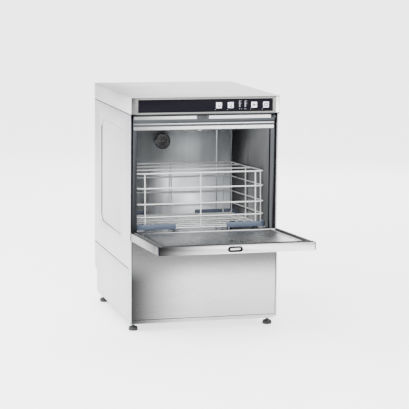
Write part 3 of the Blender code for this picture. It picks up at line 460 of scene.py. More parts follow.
@dataclass(frozen=True)
class CoatedWire(Finish):
    """White dipped coating: soft gloss, a little orange peel and grey rub marks."""

    def make(self, bench: Bench) -> bpy.types.Material:
        """Builds the coating's thick and thin places and its rub marks."""
        peel = bench.noise(320.0, detail=2.0)
        thick = bench.noise(40.0, detail=3.0)
        rub = bench.span(bench.noise(150.0, detail=4.0, rough=0.7), 0.0, 1.0, 0.66, 0.78)
        bench.fixed(IOR=1.48)
        base = bench.mix(thick, tinted(self.colour, 0.95), tinted(self.colour, 1.03))
        base = bench.mix(bench.math("MULTIPLY", rub, 0.35), base, (0.52, 0.52, 0.52))
        bench.feed(bench.shader.inputs["Base Color"], base)
        bench.feed(bench.shader.inputs["Roughness"], bench.span(peel, 0.26, 0.40, 0.3, 0.7))
        bench.bump((thick, 0.10, 0.0008), (peel, 0.15, 0.0002))
        return bench.material


@dataclass(frozen=True)
class Gloss(Finish):
    """Printed film under a clear face: deep colour, a fine print dot, dust and finger marks."""

    roughness: float = 0.12

    def make(self, bench: Bench) -> bpy.types.Material:
        """Builds the print dot, the dust and the finger marks."""
        dot = bench.cells(1500.0)
        dust = bench.span(bench.noise(420.0, detail=3.0, rough=0.7), 0.0, 1.0, 0.70, 0.80)
        marks = bench.span(bench.noise(30.0, detail=5.0, rough=0.7), 0.0, 1.0, 0.48, 0.70)
        bench.fixed(Specular_IOR_Level=0.04, IOR=1.49)
        base = bench.mix(bench.span(dot, 0.0, 1.0, 0.1, 0.6), tinted(self.colour, 1.2), tinted(self.colour, 0.8))
        base = bench.mix(bench.math("MULTIPLY", dust, 0.20), base, (0.30, 0.30, 0.31))
        bench.feed(bench.shader.inputs["Base Color"], base)
        bench.feed(bench.shader.inputs["Roughness"], bench.span(marks, self.roughness, self.roughness + 0.16))
        bench.bump((marks, 0.02, 0.0004), (dot, 0.03, 0.00005))
        return bench.material


@dataclass(frozen=True)
class Rubber(Finish):
    """Black rubber with a dry bloom and pores."""

    def make(self, bench: Bench) -> bpy.types.Material:
        """Builds the bloom and the pores."""
        bloom = bench.noise(45.0, detail=5.0, rough=0.65)
        pores = bench.noise(1800.0, detail=1.0)
        bench.fixed(Specular_IOR_Level=0.12)
        base = bench.mix(bench.span(bloom, 0.0, 1.0, 0.45, 0.75), self.colour, tinted(self.colour, 2.2))
        bench.feed(bench.shader.inputs["Base Color"], base)
        bench.feed(bench.shader.inputs["Roughness"], bench.span(bloom, 0.50, 0.78, 0.3, 0.7))
        bench.bump((bloom, 0.06, 0.0006), (pores, 0.25, 0.0001))
        return bench.material


@dataclass(frozen=True)
class CastMetal(Finish):
    """Turned or cast metal with tool marks and a little tarnish."""

    roughness: float = 0.34
    tarnish: Colour = (0.30, 0.24, 0.16)

    def make(self, bench: Bench) -> bpy.types.Material:
        """Builds the tool marks and the tarnish."""
        tool = bench.noise(800.0, (1.0, 0.05, 1.0), 2.0)
        age = bench.noise(60.0, detail=5.0, rough=0.65)
        bench.fixed(Metallic=1.0)
        base = bench.mix(bench.span(age, 0.0, 0.7, 0.5, 0.75), self.colour, self.tarnish)
        bench.feed(bench.shader.inputs["Base Color"], base)
        bench.feed(
            bench.shader.inputs["Roughness"], bench.span(age, self.roughness - 0.08, self.roughness + 0.18, 0.3, 0.7)
        )
        bench.bump((age, 0.08, 0.0005), (tool, 0.12, 0.0001))
        return bench.material


@dataclass(frozen=True)
class Lamp(Finish):
    """A lit segment or indicator behind a diffusing lens."""

    strength: float = 1.0

    def make(self, bench: Bench) -> bpy.types.Material:
        """Builds the lens's uneven glow."""
        glow = bench.noise(900.0, detail=2.0)
        bench.fixed(Roughness=0.35, Emission_Strength=self.strength)
        base = bench.mix(glow, tinted(self.colour, 0.82), tinted(self.colour, 1.05))
        bench.feed(bench.shader.inputs["Base Color"], base)
        bench.feed(bench.shader.inputs["Emission Color"], base)
        return bench.material


@dataclass(frozen=True)
class StudioFloor(Finish):
    """A pale seamless floor with a very faint mottle."""

    def make(self, bench: Bench) -> bpy.types.Material:
        """Builds the mottle."""
        mottle = bench.noise(1.5, detail=3.0)
        bench.feed(
            bench.shader.inputs["Base Color"], bench.mix(mottle, tinted(self.colour, 0.99), tinted(self.colour, 1.01))
        )
        bench.feed(bench.shader.inputs["Roughness"], bench.span(mottle, 0.70, 0.80))
        bench.fixed(Specular_IOR_Level=0.1, Emission_Strength=1.6)
        bench.feed(bench.shader.inputs["Emission Color"], (1.0, 1.0, 1.0))
        return bench.material


# Painted shade in these steels: each left-end tone is a painted dark reflection, the lower front panel's height tone
# paints the shadow under the door, and the sides' height tone darkens their upper part.
FRONT_STEEL = BrushedSteel(
    "front_steel", (0.46, 0.46, 0.465), 0.30, Grain.ALONG_X, painted_left_shade=0.05, painted_shade_stop=-0.02, shade=(0.150, 0.225, 0.30)
)
SIDE_STEEL = BrushedSteel("side_steel", (0.52, 0.52, 0.545), 0.42, Grain.ALONG_Z, shade=(0.42, 0.70, 0.66))
TOP_STEEL = BrushedSteel("top_steel", (0.62, 0.62, 0.622), 0.38, Grain.ALONG_X, grazing=0.5)
DOOR_STEEL = BrushedSteel("door_steel", (0.66, 0.66, 0.665), 0.26, Grain.ALONG_X, painted_left_shade=0.02, painted_shade_stop=-0.01)
# Far darker than real stainless steel: painted shade on the chamber's front frame.
DARKENED_FRAME_STEEL = BrushedSteel(
    "frame_steel", (0.055, 0.059, 0.064), 0.34, Grain.ALONG_Z, painted_left_shade=0.6, painted_shade_stop=-0.19, grazing=0.4
)
# Lighter than real stainless steel: a painted highlight on the surround's rounded ends.
END_HIGHLIGHT_STEEL = BrushedSteel("end_steel", (0.95, 0.95, 0.94), 0.24, Grain.ALONG_Z, painted_left_shade=0.07, painted_shade_stop=-0.10)
# A light copy of the frame's steel for the header's faces: painted highlight.
HEADER_HIGHLIGHT_STEEL = BrushedSteel("header_steel", (0.60, 0.60, 0.605), 0.30, Grain.ALONG_X, painted_left_shade=0.30, painted_shade_stop=-0.02)
# Darker than real stainless steel: painted shade on the fascia's surround.
DARKENED_SURROUND_STEEL = BrushedSteel("surround_steel", (0.20, 0.20, 0.19), 0.34, Grain.ALONG_X, painted_left_shade=0.4, painted_shade_stop=-0.19)
# Darker than real stainless steel: painted shade on the door's liner.
DARKENED_LINER_STEEL = BrushedSteel("liner_steel", (0.24, 0.245, 0.25), 0.30, Grain.ALONG_Y)
BRIGHT_STEEL = BrushedSteel("bright_steel", (0.72, 0.72, 0.73), 0.20, Grain.ALONG_Z, 0.06, 0.03)
ARM_STEEL = BrushedSteel("arm_steel", (0.62, 0.63, 0.64), 0.26, Grain.ALONG_Y)
# Its last number paints shade on the tank's right wall.
TANK = TankSteel("tank_sheet", (0.74, 0.76, 0.78), 0.34, 0.08)
# Far darker than the tank sheet: painted shade in the tank's rear corners.
FOLD_SHADE_STEEL = TankSteel("fold_sheet", (0.10, 0.105, 0.11), 0.40)
STRAINER_STEEL = TankSteel("strainer_sheet", (0.46, 0.48, 0.48), 0.30)
FASCIA_FILM = Gloss("fascia_film", (0.0050, 0.0045, 0.0075), 0.20)
SMOKED_LENS = Gloss("smoked_lens", (0.020, 0.021, 0.026), 0.10)
WHITE_KEY = Moulding("white_key", (0.74, 0.74, 0.80), 0.38, 1600.0, 0.00006, 1.05)
ICON_INK = Moulding("icon_ink", (0.045, 0.045, 0.075), 0.45, 1500.0, 0.00003, 1.1)
BLACK_PLASTIC = Moulding("black_moulding", (0.018, 0.018, 0.020), 0.40, edge_wear_and_highlight=2.0)
# Its edges are many times lighter than its black: a painted highlight on the vent's rings.
VENT_PLASTIC = Moulding("vent_moulding", (0.009, 0.009, 0.010), 0.24, edge_wear_and_highlight=14.0)
CATCH_PLASTIC = Moulding("catch_moulding", (0.026, 0.027, 0.030), 0.42)
GREY_PLASTIC = Moulding("grey_moulding", (0.34, 0.35, 0.37), 0.42)
PUMP_PLASTIC = Moulding("pump_moulding", (0.42, 0.43, 0.44), 0.50)
GUARD_PLASTIC = Moulding("guard_moulding", (0.080, 0.104, 0.150), 0.42, edge_wear_and_highlight=1.3)
BOARD = Moulding("board_laminate", (0.02, 0.13, 0.05), 0.42)
WIRE_COATING = CoatedWire("white_coating", (0.70, 0.70, 0.69))
BLACK_RUBBER = Rubber("black_rubber", (0.007, 0.007, 0.008))
# Black strips that paint shade in the seams, at the hem and along the side panels' folds.
SHADOW = Rubber("painted_seam_shade", (0.008, 0.008, 0.009))
BRASS = CastMetal("turned_brass", (0.66, 0.47, 0.20), 0.32)
MOTOR = CastMetal("motor_casting", (0.50, 0.51, 0.53), 0.42, (0.30, 0.30, 0.30))
ZINC = CastMetal("zinc_plate", (0.55, 0.56, 0.58), 0.34, (0.34, 0.34, 0.34))
SEGMENT_LIT = Lamp("segment_lit", (0.26, 0.27, 0.29), 0.05)
SEGMENT_DIM = Lamp("segment_dim", (0.10, 0.095, 0.095), 0.01)
INDICATOR = Lamp("indicator_lens", (0.26, 0.27, 0.30), 0.05)


# ---- Shapes ---------------------------------------------------------------------------------
def rectangle(low: Sequence[float], high: Sequence[float]) -> Loop:
    """The four corners of a rectangle, anticlockwise."""
    return [(low[0], low[1]), (high[0], low[1]), (high[0], high[1]), (low[0], high[1])]


def arc(centre: Sequence[float], radius: float, start: float, end: float, steps: int) -> Loop:
    """Points on an arc.

    Args:
        centre: The arc's centre.
        radius: Its radius.
        start: The first angle, in degrees.
        end: The last angle, in degrees.
        steps: How many chords.

    Returns:
        The points, both ends included.
    """
    turns = [math.radians(start + (end - start) * i / steps) for i in range(steps + 1)]
    return [(centre[0] + radius * math.cos(turn), centre[1] + radius * math.sin(turn)) for turn in turns]


def slot_outline(width: float, height: float, steps: int = 8) -> Loop:
    """An outline with round ends, centred on the origin."""
    radius = height / 2
    reach = width / 2 - radius
    return arc((reach, 0), radius, -90, 90, steps) + arc((-reach, 0), radius, 90, 270, steps)


def extrude(mesh: bmesh.types.BMesh, loop: Sequence[Sequence[float]], depth: float, place: Matrix) -> None:
    """Adds a prism whose outline lies in its own x and y.

    Args:
        mesh: The mesh it goes into.
        loop: The outline.
        depth: Its height along its own z.
        place: Where it goes.
    """
    low = [mesh.verts.new(place @ Vector((x, y, 0.0))) for x, y in loop]
    high = [mesh.verts.new(place @ Vector((x, y, depth))) for x, y in loop]
    mesh.faces.new(low[::-1])
    mesh.faces.new(high)
    for i, start in enumerate(low):
        after = (i + 1) % len(low)
        mesh.faces.new((start, low[after], high[after], high[i]))


def block(mesh: bmesh.types.BMesh, low: Sequence[float], high: Sequence[float], edge: float, steps: int = 2) -> None:
    """Adds a box with rounded edges.

    Args:
        mesh: The mesh it goes into.
        low: Its lowest corner.
        high: Its highest corner.
        edge: The edges' radius.
        steps: Segments in each rounded edge.
    """
    size = Vector(high) - Vector(low)
    middle = (Vector(high) + Vector(low)) / 2
    made = bmesh.ops.create_cube(mesh, size=1.0, matrix=Matrix.Translation(middle) @ Matrix.Diagonal((*size, 1.0)))
    edges = {rim for vert in made["verts"] for rim in vert.link_edges}
    if edge > 0:
        bmesh.ops.bevel(mesh, geom=list(edges), offset=edge, segments=steps, profile=0.5, affect="EDGES")


def lathe(mesh: bmesh.types.BMesh, profile: Sequence[Sequence[float]], place: Matrix, steps: int = 48) -> None:
    """Adds a closed turned shape about its own z.

    Args:
        mesh: The mesh it goes into.
        profile: Radius and height of each point, in order round the section.
        place: Where it goes.
        steps: How many facets round the axis.
    """
    rings = []
    for radius, height in profile:
        if radius < 1e-7:
            rings.append([mesh.verts.new(place @ Vector((0, 0, height)))])
            continue
        turns = [2 * math.pi * i / steps for i in range(steps)]
        ring = [Vector((radius * math.cos(turn), radius * math.sin(turn), height)) for turn in turns]
        rings.append([mesh.verts.new(place @ point) for point in ring])
    closed = len(rings[0]) > 1 and len(rings[-1]) > 1
    pairs = list(zip(rings, rings[1:])) + ([(rings[-1], rings[0])] if closed else [])
    for first, second in pairs:
        for i in range(steps):
            after = (i + 1) % steps
            corners = [first[i % len(first)], first[after % len(first)]]
            corners += [second[after % len(second)], second[i % len(second)]]
            unique = list(dict.fromkeys(corners))
            if len(unique) > 2:
                mesh.faces.new(unique)


def object_from(name: str, mesh: bmesh.types.BMesh) -> bpy.types.Object:
    """Turns a bmesh into a linked object at the origin, with its faces pointing out.

    Args:
        name: The object's name.
        mesh: The bmesh, which is freed.

    Returns:
        The object.
    """
    bmesh.ops.recalc_face_normals(mesh, faces=mesh.faces)
    data = bpy.data.meshes.new(name)
    mesh.to_mesh(data)
    mesh.free()
    made = bpy.data.objects.new(name, data)
    bpy.context.scene.collection.objects.link(made)
    return made


def deliver(
    made: bpy.types.Object,
    finish: Finish,
    body: str,
    stands_for: Sequence[str] = (),
    crease: float = 35.0,
    smooth: bool = True,
) -> bpy.types.Object:
    """Dresses a finished piece and puts it on its body.

    Args:
        made: The piece, in place.
        finish: Its finish.
        body: The body it moves with.
        stands_for: CAD nodes that it replaces.
        crease: Edges sharper than this, in degrees, stay sharp.
        smooth: Whether its faces are shaded smooth.

    Returns:
        The piece.
    """
    if not made.data.materials:
        made.data.materials.append(finish.material())
    if smooth:
        made.data.shade_smooth()
        made.data.set_sharp_from_angle(angle=math.radians(crease))
    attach(made, body)
    if stands_for:
        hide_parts(*stands_for)
    log.info("%s: %d faces on %s", made.name, len(made.data.polygons), body)
    return made


def body_of_node(node: str) -> str:
    """The body that a CAD node belongs to."""
    groups = frame["record"]["behaviour"]["bodies"]
    return next(body for body, members in groups.items() if node in members)


def refine(node: str, finish: Finish, edge: float = 0.0, turned: bool = False) -> bpy.types.Object:
    """Stands in for a CAD node with a merged copy of it that has rounded edges.

    Args:
        node: The CAD node.
        finish: Its finish.
        edge: The rounded edges' radius, or 0 to leave them as they are.
        turned: Whether it is a round shape, whose faces are all shaded smooth.

    Returns:
        The piece.
    """
    mesh = bmesh.new()
    mesh.from_mesh(frame["nodes"][node].data)
    bmesh.ops.remove_doubles(mesh, verts=mesh.verts, dist=MERGE)
    for face in mesh.faces:
        face.smooth = turned
    if edge > 0:
        bmesh.ops.dissolve_limit(mesh, angle_limit=math.radians(0.4), verts=mesh.verts, edges=mesh.edges)
        sharp = [rim for rim in mesh.edges if len(rim.link_faces) == 2 and rim.calc_face_angle(0.0) > math.radians(40)]
        made = bmesh.ops.bevel(mesh, geom=sharp, offset=edge, segments=2, profile=0.5, affect="EDGES")
        for face in made["faces"]:
            face.smooth = True
    data = bpy.data.meshes.new(node + "_sheet")
    mesh.to_mesh(data)
    mesh.free()
    data.set_sharp_from_angle(angle=math.radians(38))
    made = bpy.data.objects.new(node + "_sheet", data)
    bpy.context.scene.collection.objects.link(made)
    return deliver(made, finish, body_of_node(node), [node], smooth=False)


def dress(finish: Finish, *nodes: str) -> None:
    """Gives CAD nodes that keep their own mesh a finish."""
    for node in nodes:
        slots = frame["nodes"][node].data.materials
        slots.clear()
        slots.append(finish.material())
        log.info("%s keeps its CAD mesh, in %s", node, finish.name)


# ---- Geometry Nodes -------------------------------------------------------------------------
class Tree:
    """A Geometry Nodes tree under construction, with named inputs."""

    def __init__(self, name: str, **inputs: str) -> None:
        """Makes the tree with a geometry input and output.

        Args:
            name: The tree's name.
            inputs: Each further input's name and socket type.
        """
        self.group = bpy.data.node_groups.new(name, "GeometryNodeTree")
        self.group.interface.new_socket(name="Geometry", in_out="INPUT", socket_type="NodeSocketGeometry")
        self.group.interface.new_socket(name="Geometry", in_out="OUTPUT", socket_type="NodeSocketGeometry")
        for label, kind in inputs.items():
            self.group.interface.new_socket(name=label, in_out="INPUT", socket_type=kind)
        self.source = self.add("NodeGroupInput")
        self.sink = self.add("NodeGroupOutput")

    def add(self, kind: str, **links: object) -> bpy.types.Node:
        """Adds a node and links or sets its inputs.

        Args:
            kind: The node's type.
            links: Each input's name, with _ for a space, and an output socket or a value.

        Returns:
            The node.
        """
        node = self.group.nodes.new(kind)
        for label, value in links.items():
            socket = node.inputs[label.replace("_", " ")]
            if isinstance(value, bpy.types.NodeSocket):
                self.group.links.new(value, socket)
            else:
                socket.default_value = value
        return node

    def end(self, geometry: bpy.types.NodeSocket) -> bpy.types.NodeTree:
        """Ends the tree in Realize Instances and Set Material.

        Args:
            geometry: The finished shape.

        Returns:
            The tree.
        """
        real = self.add("GeometryNodeRealizeInstances", Geometry=geometry)
        painted = self.add(
            "GeometryNodeSetMaterial", Geometry=real.outputs[0], Material=self.source.outputs["Material"]
        )
        self.group.links.new(painted.outputs[0], self.sink.inputs[0])
        return self.group


def wire_tree() -> bpy.types.NodeTree:
    """A tree that bends round wire along every line of its input."""
    tree = Tree(
        "bent_wire",
        Radius="NodeSocketFloat",
        Bend="NodeSocketFloat",
        Sides="NodeSocketInt",
        Material="NodeSocketMaterial",
    )
    given = tree.source.outputs
    line = tree.add("GeometryNodeMeshToCurve", Mesh=given["Geometry"])
    bent = tree.add("GeometryNodeFilletCurve", Curve=line.outputs[0])
    bent.mode = "POLY"
    bent.inputs["Count"].default_value = 6
    tree.group.links.new(given["Bend"], bent.inputs["Radius"])
    bent.inputs["Limit Radius"].default_value = True
    section = tree.add("GeometryNodeCurvePrimitiveCircle", Resolution=given["Sides"], Radius=given["Radius"])
    swept = tree.add("GeometryNodeCurveToMesh", Curve=bent.outputs[0], Profile_Curve=section.outputs[0])
    swept.inputs["Fill Caps"].default_value = True
    return tree.end(swept.outputs[0])


def repeat_tree() -> bpy.types.NodeTree:
    """A tree that sets one template on every point of its input, each with its own turn."""
    tree = Tree(
        "repeated_piece",
        Template="NodeSocketObject",
        Turn="NodeSocketVector",
        Loose_turn="NodeSocketFloat",
        Seed="NodeSocketInt",
        Material="NodeSocketMaterial",
    )
    given = tree.source.outputs
    template = tree.add("GeometryNodeObjectInfo", Object=given["Template"])
    chance = tree.add("FunctionNodeRandomValue")
    chance.data_type = "FLOAT"
    tree.group.links.new(given["Loose_turn"], chance.inputs[3])
    tree.group.links.new(given["Seed"], chance.inputs["Seed"])
    spin = tree.add("ShaderNodeCombineXYZ", Z=chance.outputs[1])
    spun = tree.add("FunctionNodeEulerToRotation", Euler=spin.outputs[0])
    turned = tree.add("FunctionNodeEulerToRotation", Euler=given["Turn"])
    both = tree.add("FunctionNodeRotateRotation")
    both.rotation_space = "LOCAL"
    tree.group.links.new(turned.outputs[0], both.inputs[0])
    tree.group.links.new(spun.outputs[0], both.inputs[1])
    copies = tree.add(
        "GeometryNodeInstanceOnPoints",
        Points=given["Geometry"],
        Instance=template.outputs["Geometry"],
        Rotation=both.outputs[0],
    )
    return tree.end(copies.outputs[0])


class Generator:
    """Runs the two trees and turns what they make into plain meshes."""

    def __init__(self) -> None:
        """Builds both trees once."""
        self.wires = wire_tree()
        self.repeats = repeat_tree()

    def run(
        self, name: str, lines: Sequence[tuple[Sequence[Point], bool]], tree: bpy.types.NodeTree, **inputs: object
    ) -> bpy.types.Object:
        """Evaluates a tree on lines or points.

        Args:
            name: The new piece's name.
            lines: Each line's points and whether it closes; a tree that repeats reads only the points.
            tree: The tree.
            inputs: Its inputs by name.

        Returns:
            A new object with a plain mesh.
        """
        guide = bmesh.new()
        for points, closed in lines:
            verts = [guide.verts.new(point) for point in points]
            if tree is self.repeats:
                continue
            for first, second in zip(verts, verts[1:] + verts[:1] if closed else verts[1:]):
                guide.edges.new((first, second))
        data = bpy.data.meshes.new(name + "_guide")
        guide.to_mesh(data)
        guide.free()
        holder = bpy.data.objects.new(name + "_guide", data)
        bpy.context.scene.collection.objects.link(holder)
        modifier = holder.modifiers.new("tree", "NODES")
        modifier.node_group = tree
        for item in tree.interface.items_tree:
            if item.in_out == "INPUT" and item.name in inputs:
                modifier[item.identifier] = inputs[item.name]
        bpy.context.view_layer.update()
        graph = bpy.context.evaluated_depsgraph_get()
        mesh = bpy.data.meshes.new_from_object(holder.evaluated_get(graph))
        mesh.name = name
        made = bpy.data.objects.new(name, mesh)
        bpy.context.scene.collection.objects.link(made)
        bpy.data.objects.remove(holder)
        return made

    def wire(
        self,
        name: str,
        lines: Sequence[tuple[Sequence[Point], bool]],
        radius: float,
        finish: Finish,
        bend: float = 0.004,
        sides: int = 12,
    ) -> bpy.types.Object:
        """Round wire along lines, with each corner bent.

        Args:
            name: The piece's name.
            lines: Each line's points and whether it closes.
            radius: The wire's radius.
            finish: Its finish.
            bend: The corners' radius.
            sides: Facets round the wire.

        Returns:
            The piece.
        """
        return self.run(
            name, lines, self.wires, Radius=radius, Bend=bend, Sides=sides, Material=finish.material()
        )

    def repeat(
        self,
        name: str,
        points: Iterable[Point],
        template: bmesh.types.BMesh,
        finish: Finish,
        turn: Point = (0.0, 0.0, 0.0),
        loose: float = 0.0,
        seed: int = 7,
    ) -> bpy.types.Object:
        """One template on every point.

        Args:
            name: The piece's name.
            points: Where the copies go.
            template: The shape, which is freed.
            finish: Its finish.
            turn: Every copy's turn, in radians.
            loose: The most that a copy turns about its own z by chance.
            seed: The seed of that chance.

        Returns:
            The piece.
        """
        shape = object_from(name + "_template", template)
        made = self.run(
            name,
            [(list(points), False)],
            self.repeats,
            Template=shape,
            Turn=turn,
            Loose_turn=loose,
            Seed=seed,
            Material=finish.material(),
        )
        bpy.data.objects.remove(shape)
        return made


GENERATOR = Generator()


def screw_template(radius: float) -> bmesh.types.BMesh:
    """A pan head with a cross recess, standing on its own z."""
    mesh = bmesh.new()
    rise = radius * 0.55
    profile = [(0, rise), (radius * 0.45, rise * 0.97), (radius * 0.80, rise * 0.72)]
    profile += [(radius, rise * 0.25), (radius, 0), (0, 0)]
    lathe(mesh, profile, Matrix.Identity(4), 20)
    for turn in (0, 90):
        arm = Matrix.Translation((0, 0, rise * 0.90)) @ Matrix.Rotation(math.radians(turn), 4, "Z")
        extrude(mesh, slot_outline(radius * 1.15, radius * 0.26, 3), rise * 0.16, arm)
    return mesh


# ---- Places ---------------------------------------------------------------------------------
@dataclass(frozen=True)
class Slope:
    """The open door's own frame: x across, y from its front edge to the rear, z off its inside."""

    place: Matrix

    @classmethod
    def from_joints(cls) -> "Slope":
        """Reads the hinge's place and the basket's way from the record's joints."""
        joints = {joint["name"]: joint for joint in frame["joints"]}
        way = joints["basket_slide"]["axis"]
        tilt = math.atan2(way[2], way[1])
        place = Matrix.Translation(joints["door_hinge"]["pos_m"]) @ Matrix.Rotation(tilt, 4, "X")
        return cls(place)

    def box(self, node: str) -> tuple[Vector, Vector]:
        """A node's lowest and highest corner in this frame."""
        back = self.place.inverted()
        points = [back @ vert.co for vert in frame["nodes"][node].data.vertices]
        low = Vector([min(point[axis] for point in points) for axis in range(3)])
        high = Vector([max(point[axis] for point in points) for axis in range(3)])
        return low, high

    def put(self, made: bpy.types.Object) -> bpy.types.Object:
        """Moves a mesh that was made in this frame to its place."""
        made.data.transform(self.place)
        return made


SLOPE = Slope.from_joints()


# ---- Sub-assemblies -------------------------------------------------------------------------
@dataclass
class Cabinet:
    """The outer sheets, the base and the rear wall's fittings."""

    edge: float = 0.0014
    screw_radius: float = 0.0034
    screw_inset: float = 0.012
    louvre: tuple[float, float] = (0.060, 0.0075)
    screw_rows: tuple[float, ...] = (0.22, 0.50, 0.76, 0.97)
    side_screw_radius: float = 0.0030
    side_screw_rise: float = 0.010
    louvre_pitch: float = 0.014
    louvre_rows: int = 9
    louvre_side: float = 0.115
    louvre_start: float = 0.25
    press_front: float = 0.135
    press_rear: float = 0.112
    press_foot: float = 0.278
    press_top: float = 0.0525
    press_cut: float = 0.022
    press_wire: float = 0.0010
    press_bend: float = 0.010
    sink: float = 0.0002
    seam_depth: float = 0.0025
    hem_rise: float = 0.0046
    hem_height: float = 0.0018

    def build(self) -> None:
        """Refines the sheets and fits their screws, louvres and folds, and black strips that paint the seams' shade.
        """
        for side in ("left", "right"):
            refine(f"{side}_side_panel", SIDE_STEEL, self.edge)
            refine(f"{side}_lower_side_panel", SIDE_STEEL, self.edge)
        refine("top_cover", TOP_STEEL, self.edge)
        refine("lower_front_panel", FRONT_STEEL, self.edge)
        refine("rear_panel", SIDE_STEEL, 0.0004)
        refine("base_frame", FRONT_STEEL)
        self.rear_screws()
        self.rear_louvres()
        self.side_screws()
        self.press_folds()
        self.seam_shadows()

    def press_folds(self) -> None:
        """The fold round each side panel's pressed field: a black lower line that paints the fold's shade, and a
        bright upper one in the panel's own steel.
        """
        for side in ("left", "right"):
            low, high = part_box(f"{side}_side_panel")
            face = low.x + self.sink if side == "left" else high.x - self.sink
            front, rear = low.y + self.press_front, high.y - self.press_rear
            foot, top = self.press_foot, high.z - self.press_top
            cut = self.press_cut
            dark = [(face, rear, top - cut), (face, rear, foot + cut), (face, rear - cut, foot), (face, front, foot)]
            bright = [(face, rear, top - cut), (face, rear - cut, top), (face, front + cut, top)]
            bright += [(face, front, top - cut), (face, front, foot)]
            for label, line, finish in (("dark", dark, SHADOW), ("bright", bright, SIDE_STEEL)):
                made = GENERATOR.wire(
                    f"{side}_press_{label}", [(line, False)], self.press_wire, finish, self.press_bend, 6
                )
                deliver(made, finish, "cabinet")

    def seam_shadows(self) -> None:
        """Black strips just inside the seams between the outer sheets, and one across the front panel's hem: painted
        shade in the seams and at the hem.
        """
        mesh = bmesh.new()
        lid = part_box("top_cover")[0].z
        for side, sign in (("left", 1), ("right", -1)):
            low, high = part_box(f"{side}_side_panel")
            foot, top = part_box(f"{side}_lower_side_panel")
            skin = (low.x if sign > 0 else high.x) + sign * self.sink
            deep = skin + sign * self.seam_depth
            left, right = min(skin, deep), max(skin, deep)
            block(mesh, (left, foot.y + 0.001, top.z - 0.0014), (right, high.y - 0.002, top.z + 0.0030), 0.0)
            block(mesh, (left, foot.y - 0.0022, foot.z + 0.001), (right, foot.y + 0.0005, top.z + 0.0010), 0.0)
            block(mesh, (left, low.y + 0.001, high.z - 0.0022), (right, high.y - 0.002, lid + 0.0010), 0.0)
        low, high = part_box("lower_front_panel")
        hem = low.z + self.hem_rise
        block(mesh, (low.x + 0.002, low.y - 0.0001, hem), (high.x - 0.002, low.y + 0.0008, hem + self.hem_height), 0.0)
        deliver(object_from("seam_shadows", mesh), SHADOW, "cabinet", smooth=False)

    def rear_screws(self) -> None:
        """Screws round the rear panel's edge."""
        low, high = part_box("rear_panel")
        columns = [low.x + self.screw_inset, 0.0, high.x - self.screw_inset]
        rows = [low.z + (high.z - low.z) * share for share in self.screw_rows]
        points = [(x, high.y, z) for x in columns for z in rows if x or z > rows[2]]
        made = GENERATOR.repeat(
            "rear_screws", points, screw_template(self.screw_radius), ZINC, (math.radians(-90), 0, 0), math.pi, 11
        )
        deliver(made, ZINC, "cabinet")

    def rear_louvres(self) -> None:
        """Two columns of pressed louvres that let the machine space breathe."""
        low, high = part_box("rear_panel")
        width, height = self.louvre
        hood = bmesh.new()
        outline = [(0.0, 0.0), *arc((0, 0), height * 0.5, 0, 90, 6)]
        extrude(hood, outline, width, Matrix.Translation((-width / 2, 0, 0)) @ Matrix.Rotation(math.pi / 2, 4, "Y"))
        start = low.z + (high.z - low.z) * self.louvre_start
        points = [
            (side * self.louvre_side, high.y, start + row * self.louvre_pitch)
            for side in (-1, 1)
            for row in range(self.louvre_rows)
        ]
        made = GENERATOR.repeat("rear_louvres", points, hood, SIDE_STEEL)
        deliver(made, SIDE_STEEL, "cabinet")

    def side_screws(self) -> None:
        """Two screws along the foot of each lower side panel."""
        for side, turn in (("left", -90), ("right", 90)):
            low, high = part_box(f"{side}_lower_side_panel")
            x = low.x if turn < 0 else high.x
            points = [(x, low.y + (high.y - low.y) * share, low.z + self.side_screw_rise) for share in (0.06, 0.86)]
            head = screw_template(self.side_screw_radius)
            made = GENERATOR.repeat(
                f"{side}_panel_screws", points, head, ZINC, (0, math.radians(turn), 0), math.pi, 5
            )
            deliver(made, ZINC, "cabinet")


@dataclass
class Feet:
    """Four screw feet with stepped rubber discs, each with its lock nut under the base."""

    nut_across: float = 0.0095
    nut_height: float = 0.0055
    stem: float = 0.005
    neck: float = 0.0125
    pitch: float = 0.0015

    def build(self) -> None:
        """Builds a foot and a nut for each foot node."""
        base_low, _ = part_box("base_frame")
        for name in ("foot_front_left", "foot_front_right", "foot_rear_left", "foot_rear_right"):
            low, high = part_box(name)
            radius = (high.x - low.x) / 2
            centre = Vector(((low.x + high.x) / 2, (low.y + high.y) / 2, low.z))
            self.foot(name, centre, radius, high.z - low.z)
            self.nut(name, centre, base_low.z)

    def foot(self, name: str, centre: Vector, radius: float, height: float) -> None:
        """The rubber disc and its threaded stem, as one turned piece.

        Args:
            name: The foot's node.
            centre: The middle of its underside.
            radius: The disc's radius.
            height: The stem's top above the floor.
        """
        stem, neck, pitch = self.stem, self.neck, self.pitch
        turns = int((height - neck) / pitch)
        profile = [(0, height)]
        for i in range(turns):
            z = height - i * pitch
            profile += [(stem * 0.86, z - pitch * 0.1), (stem, z - pitch * 0.5)]
        profile += [(stem, neck), (radius * 0.80, neck - 0.0004), (radius * 0.86, neck - 0.0012)]
        profile += [(radius * 0.88, 0.0096), (radius * 0.96, 0.0090), (radius, 0.0082)]
        profile += [(radius, 0.0012), (radius - 0.0012, 0.0), (0, 0.0)]
        mesh = bmesh.new()
        lathe(mesh, profile, Matrix.Translation(centre), 48)
        deliver(object_from(name + "_pad", mesh), BLACK_RUBBER, name, [name])

    def nut(self, name: str, centre: Vector, top: float) -> None:
        """The hexagon nut that locks the stem under the base.

        Args:
            name: The foot's node.
            centre: The middle of the foot's underside.
            top: The base's underside.
        """
        mesh = bmesh.new()
        outline = arc((0, 0), self.nut_across, 0, 300, 5)
        place = Matrix.Translation((centre.x, centre.y, top - self.nut_height))
        extrude(mesh, outline, self.nut_height, place)
        bmesh.ops.bevel(mesh, geom=mesh.edges[:], offset=0.0005, segments=2, profile=0.5, affect="EDGES")
        deliver(object_from(name + "_nut", mesh), ZINC, "cabinet")


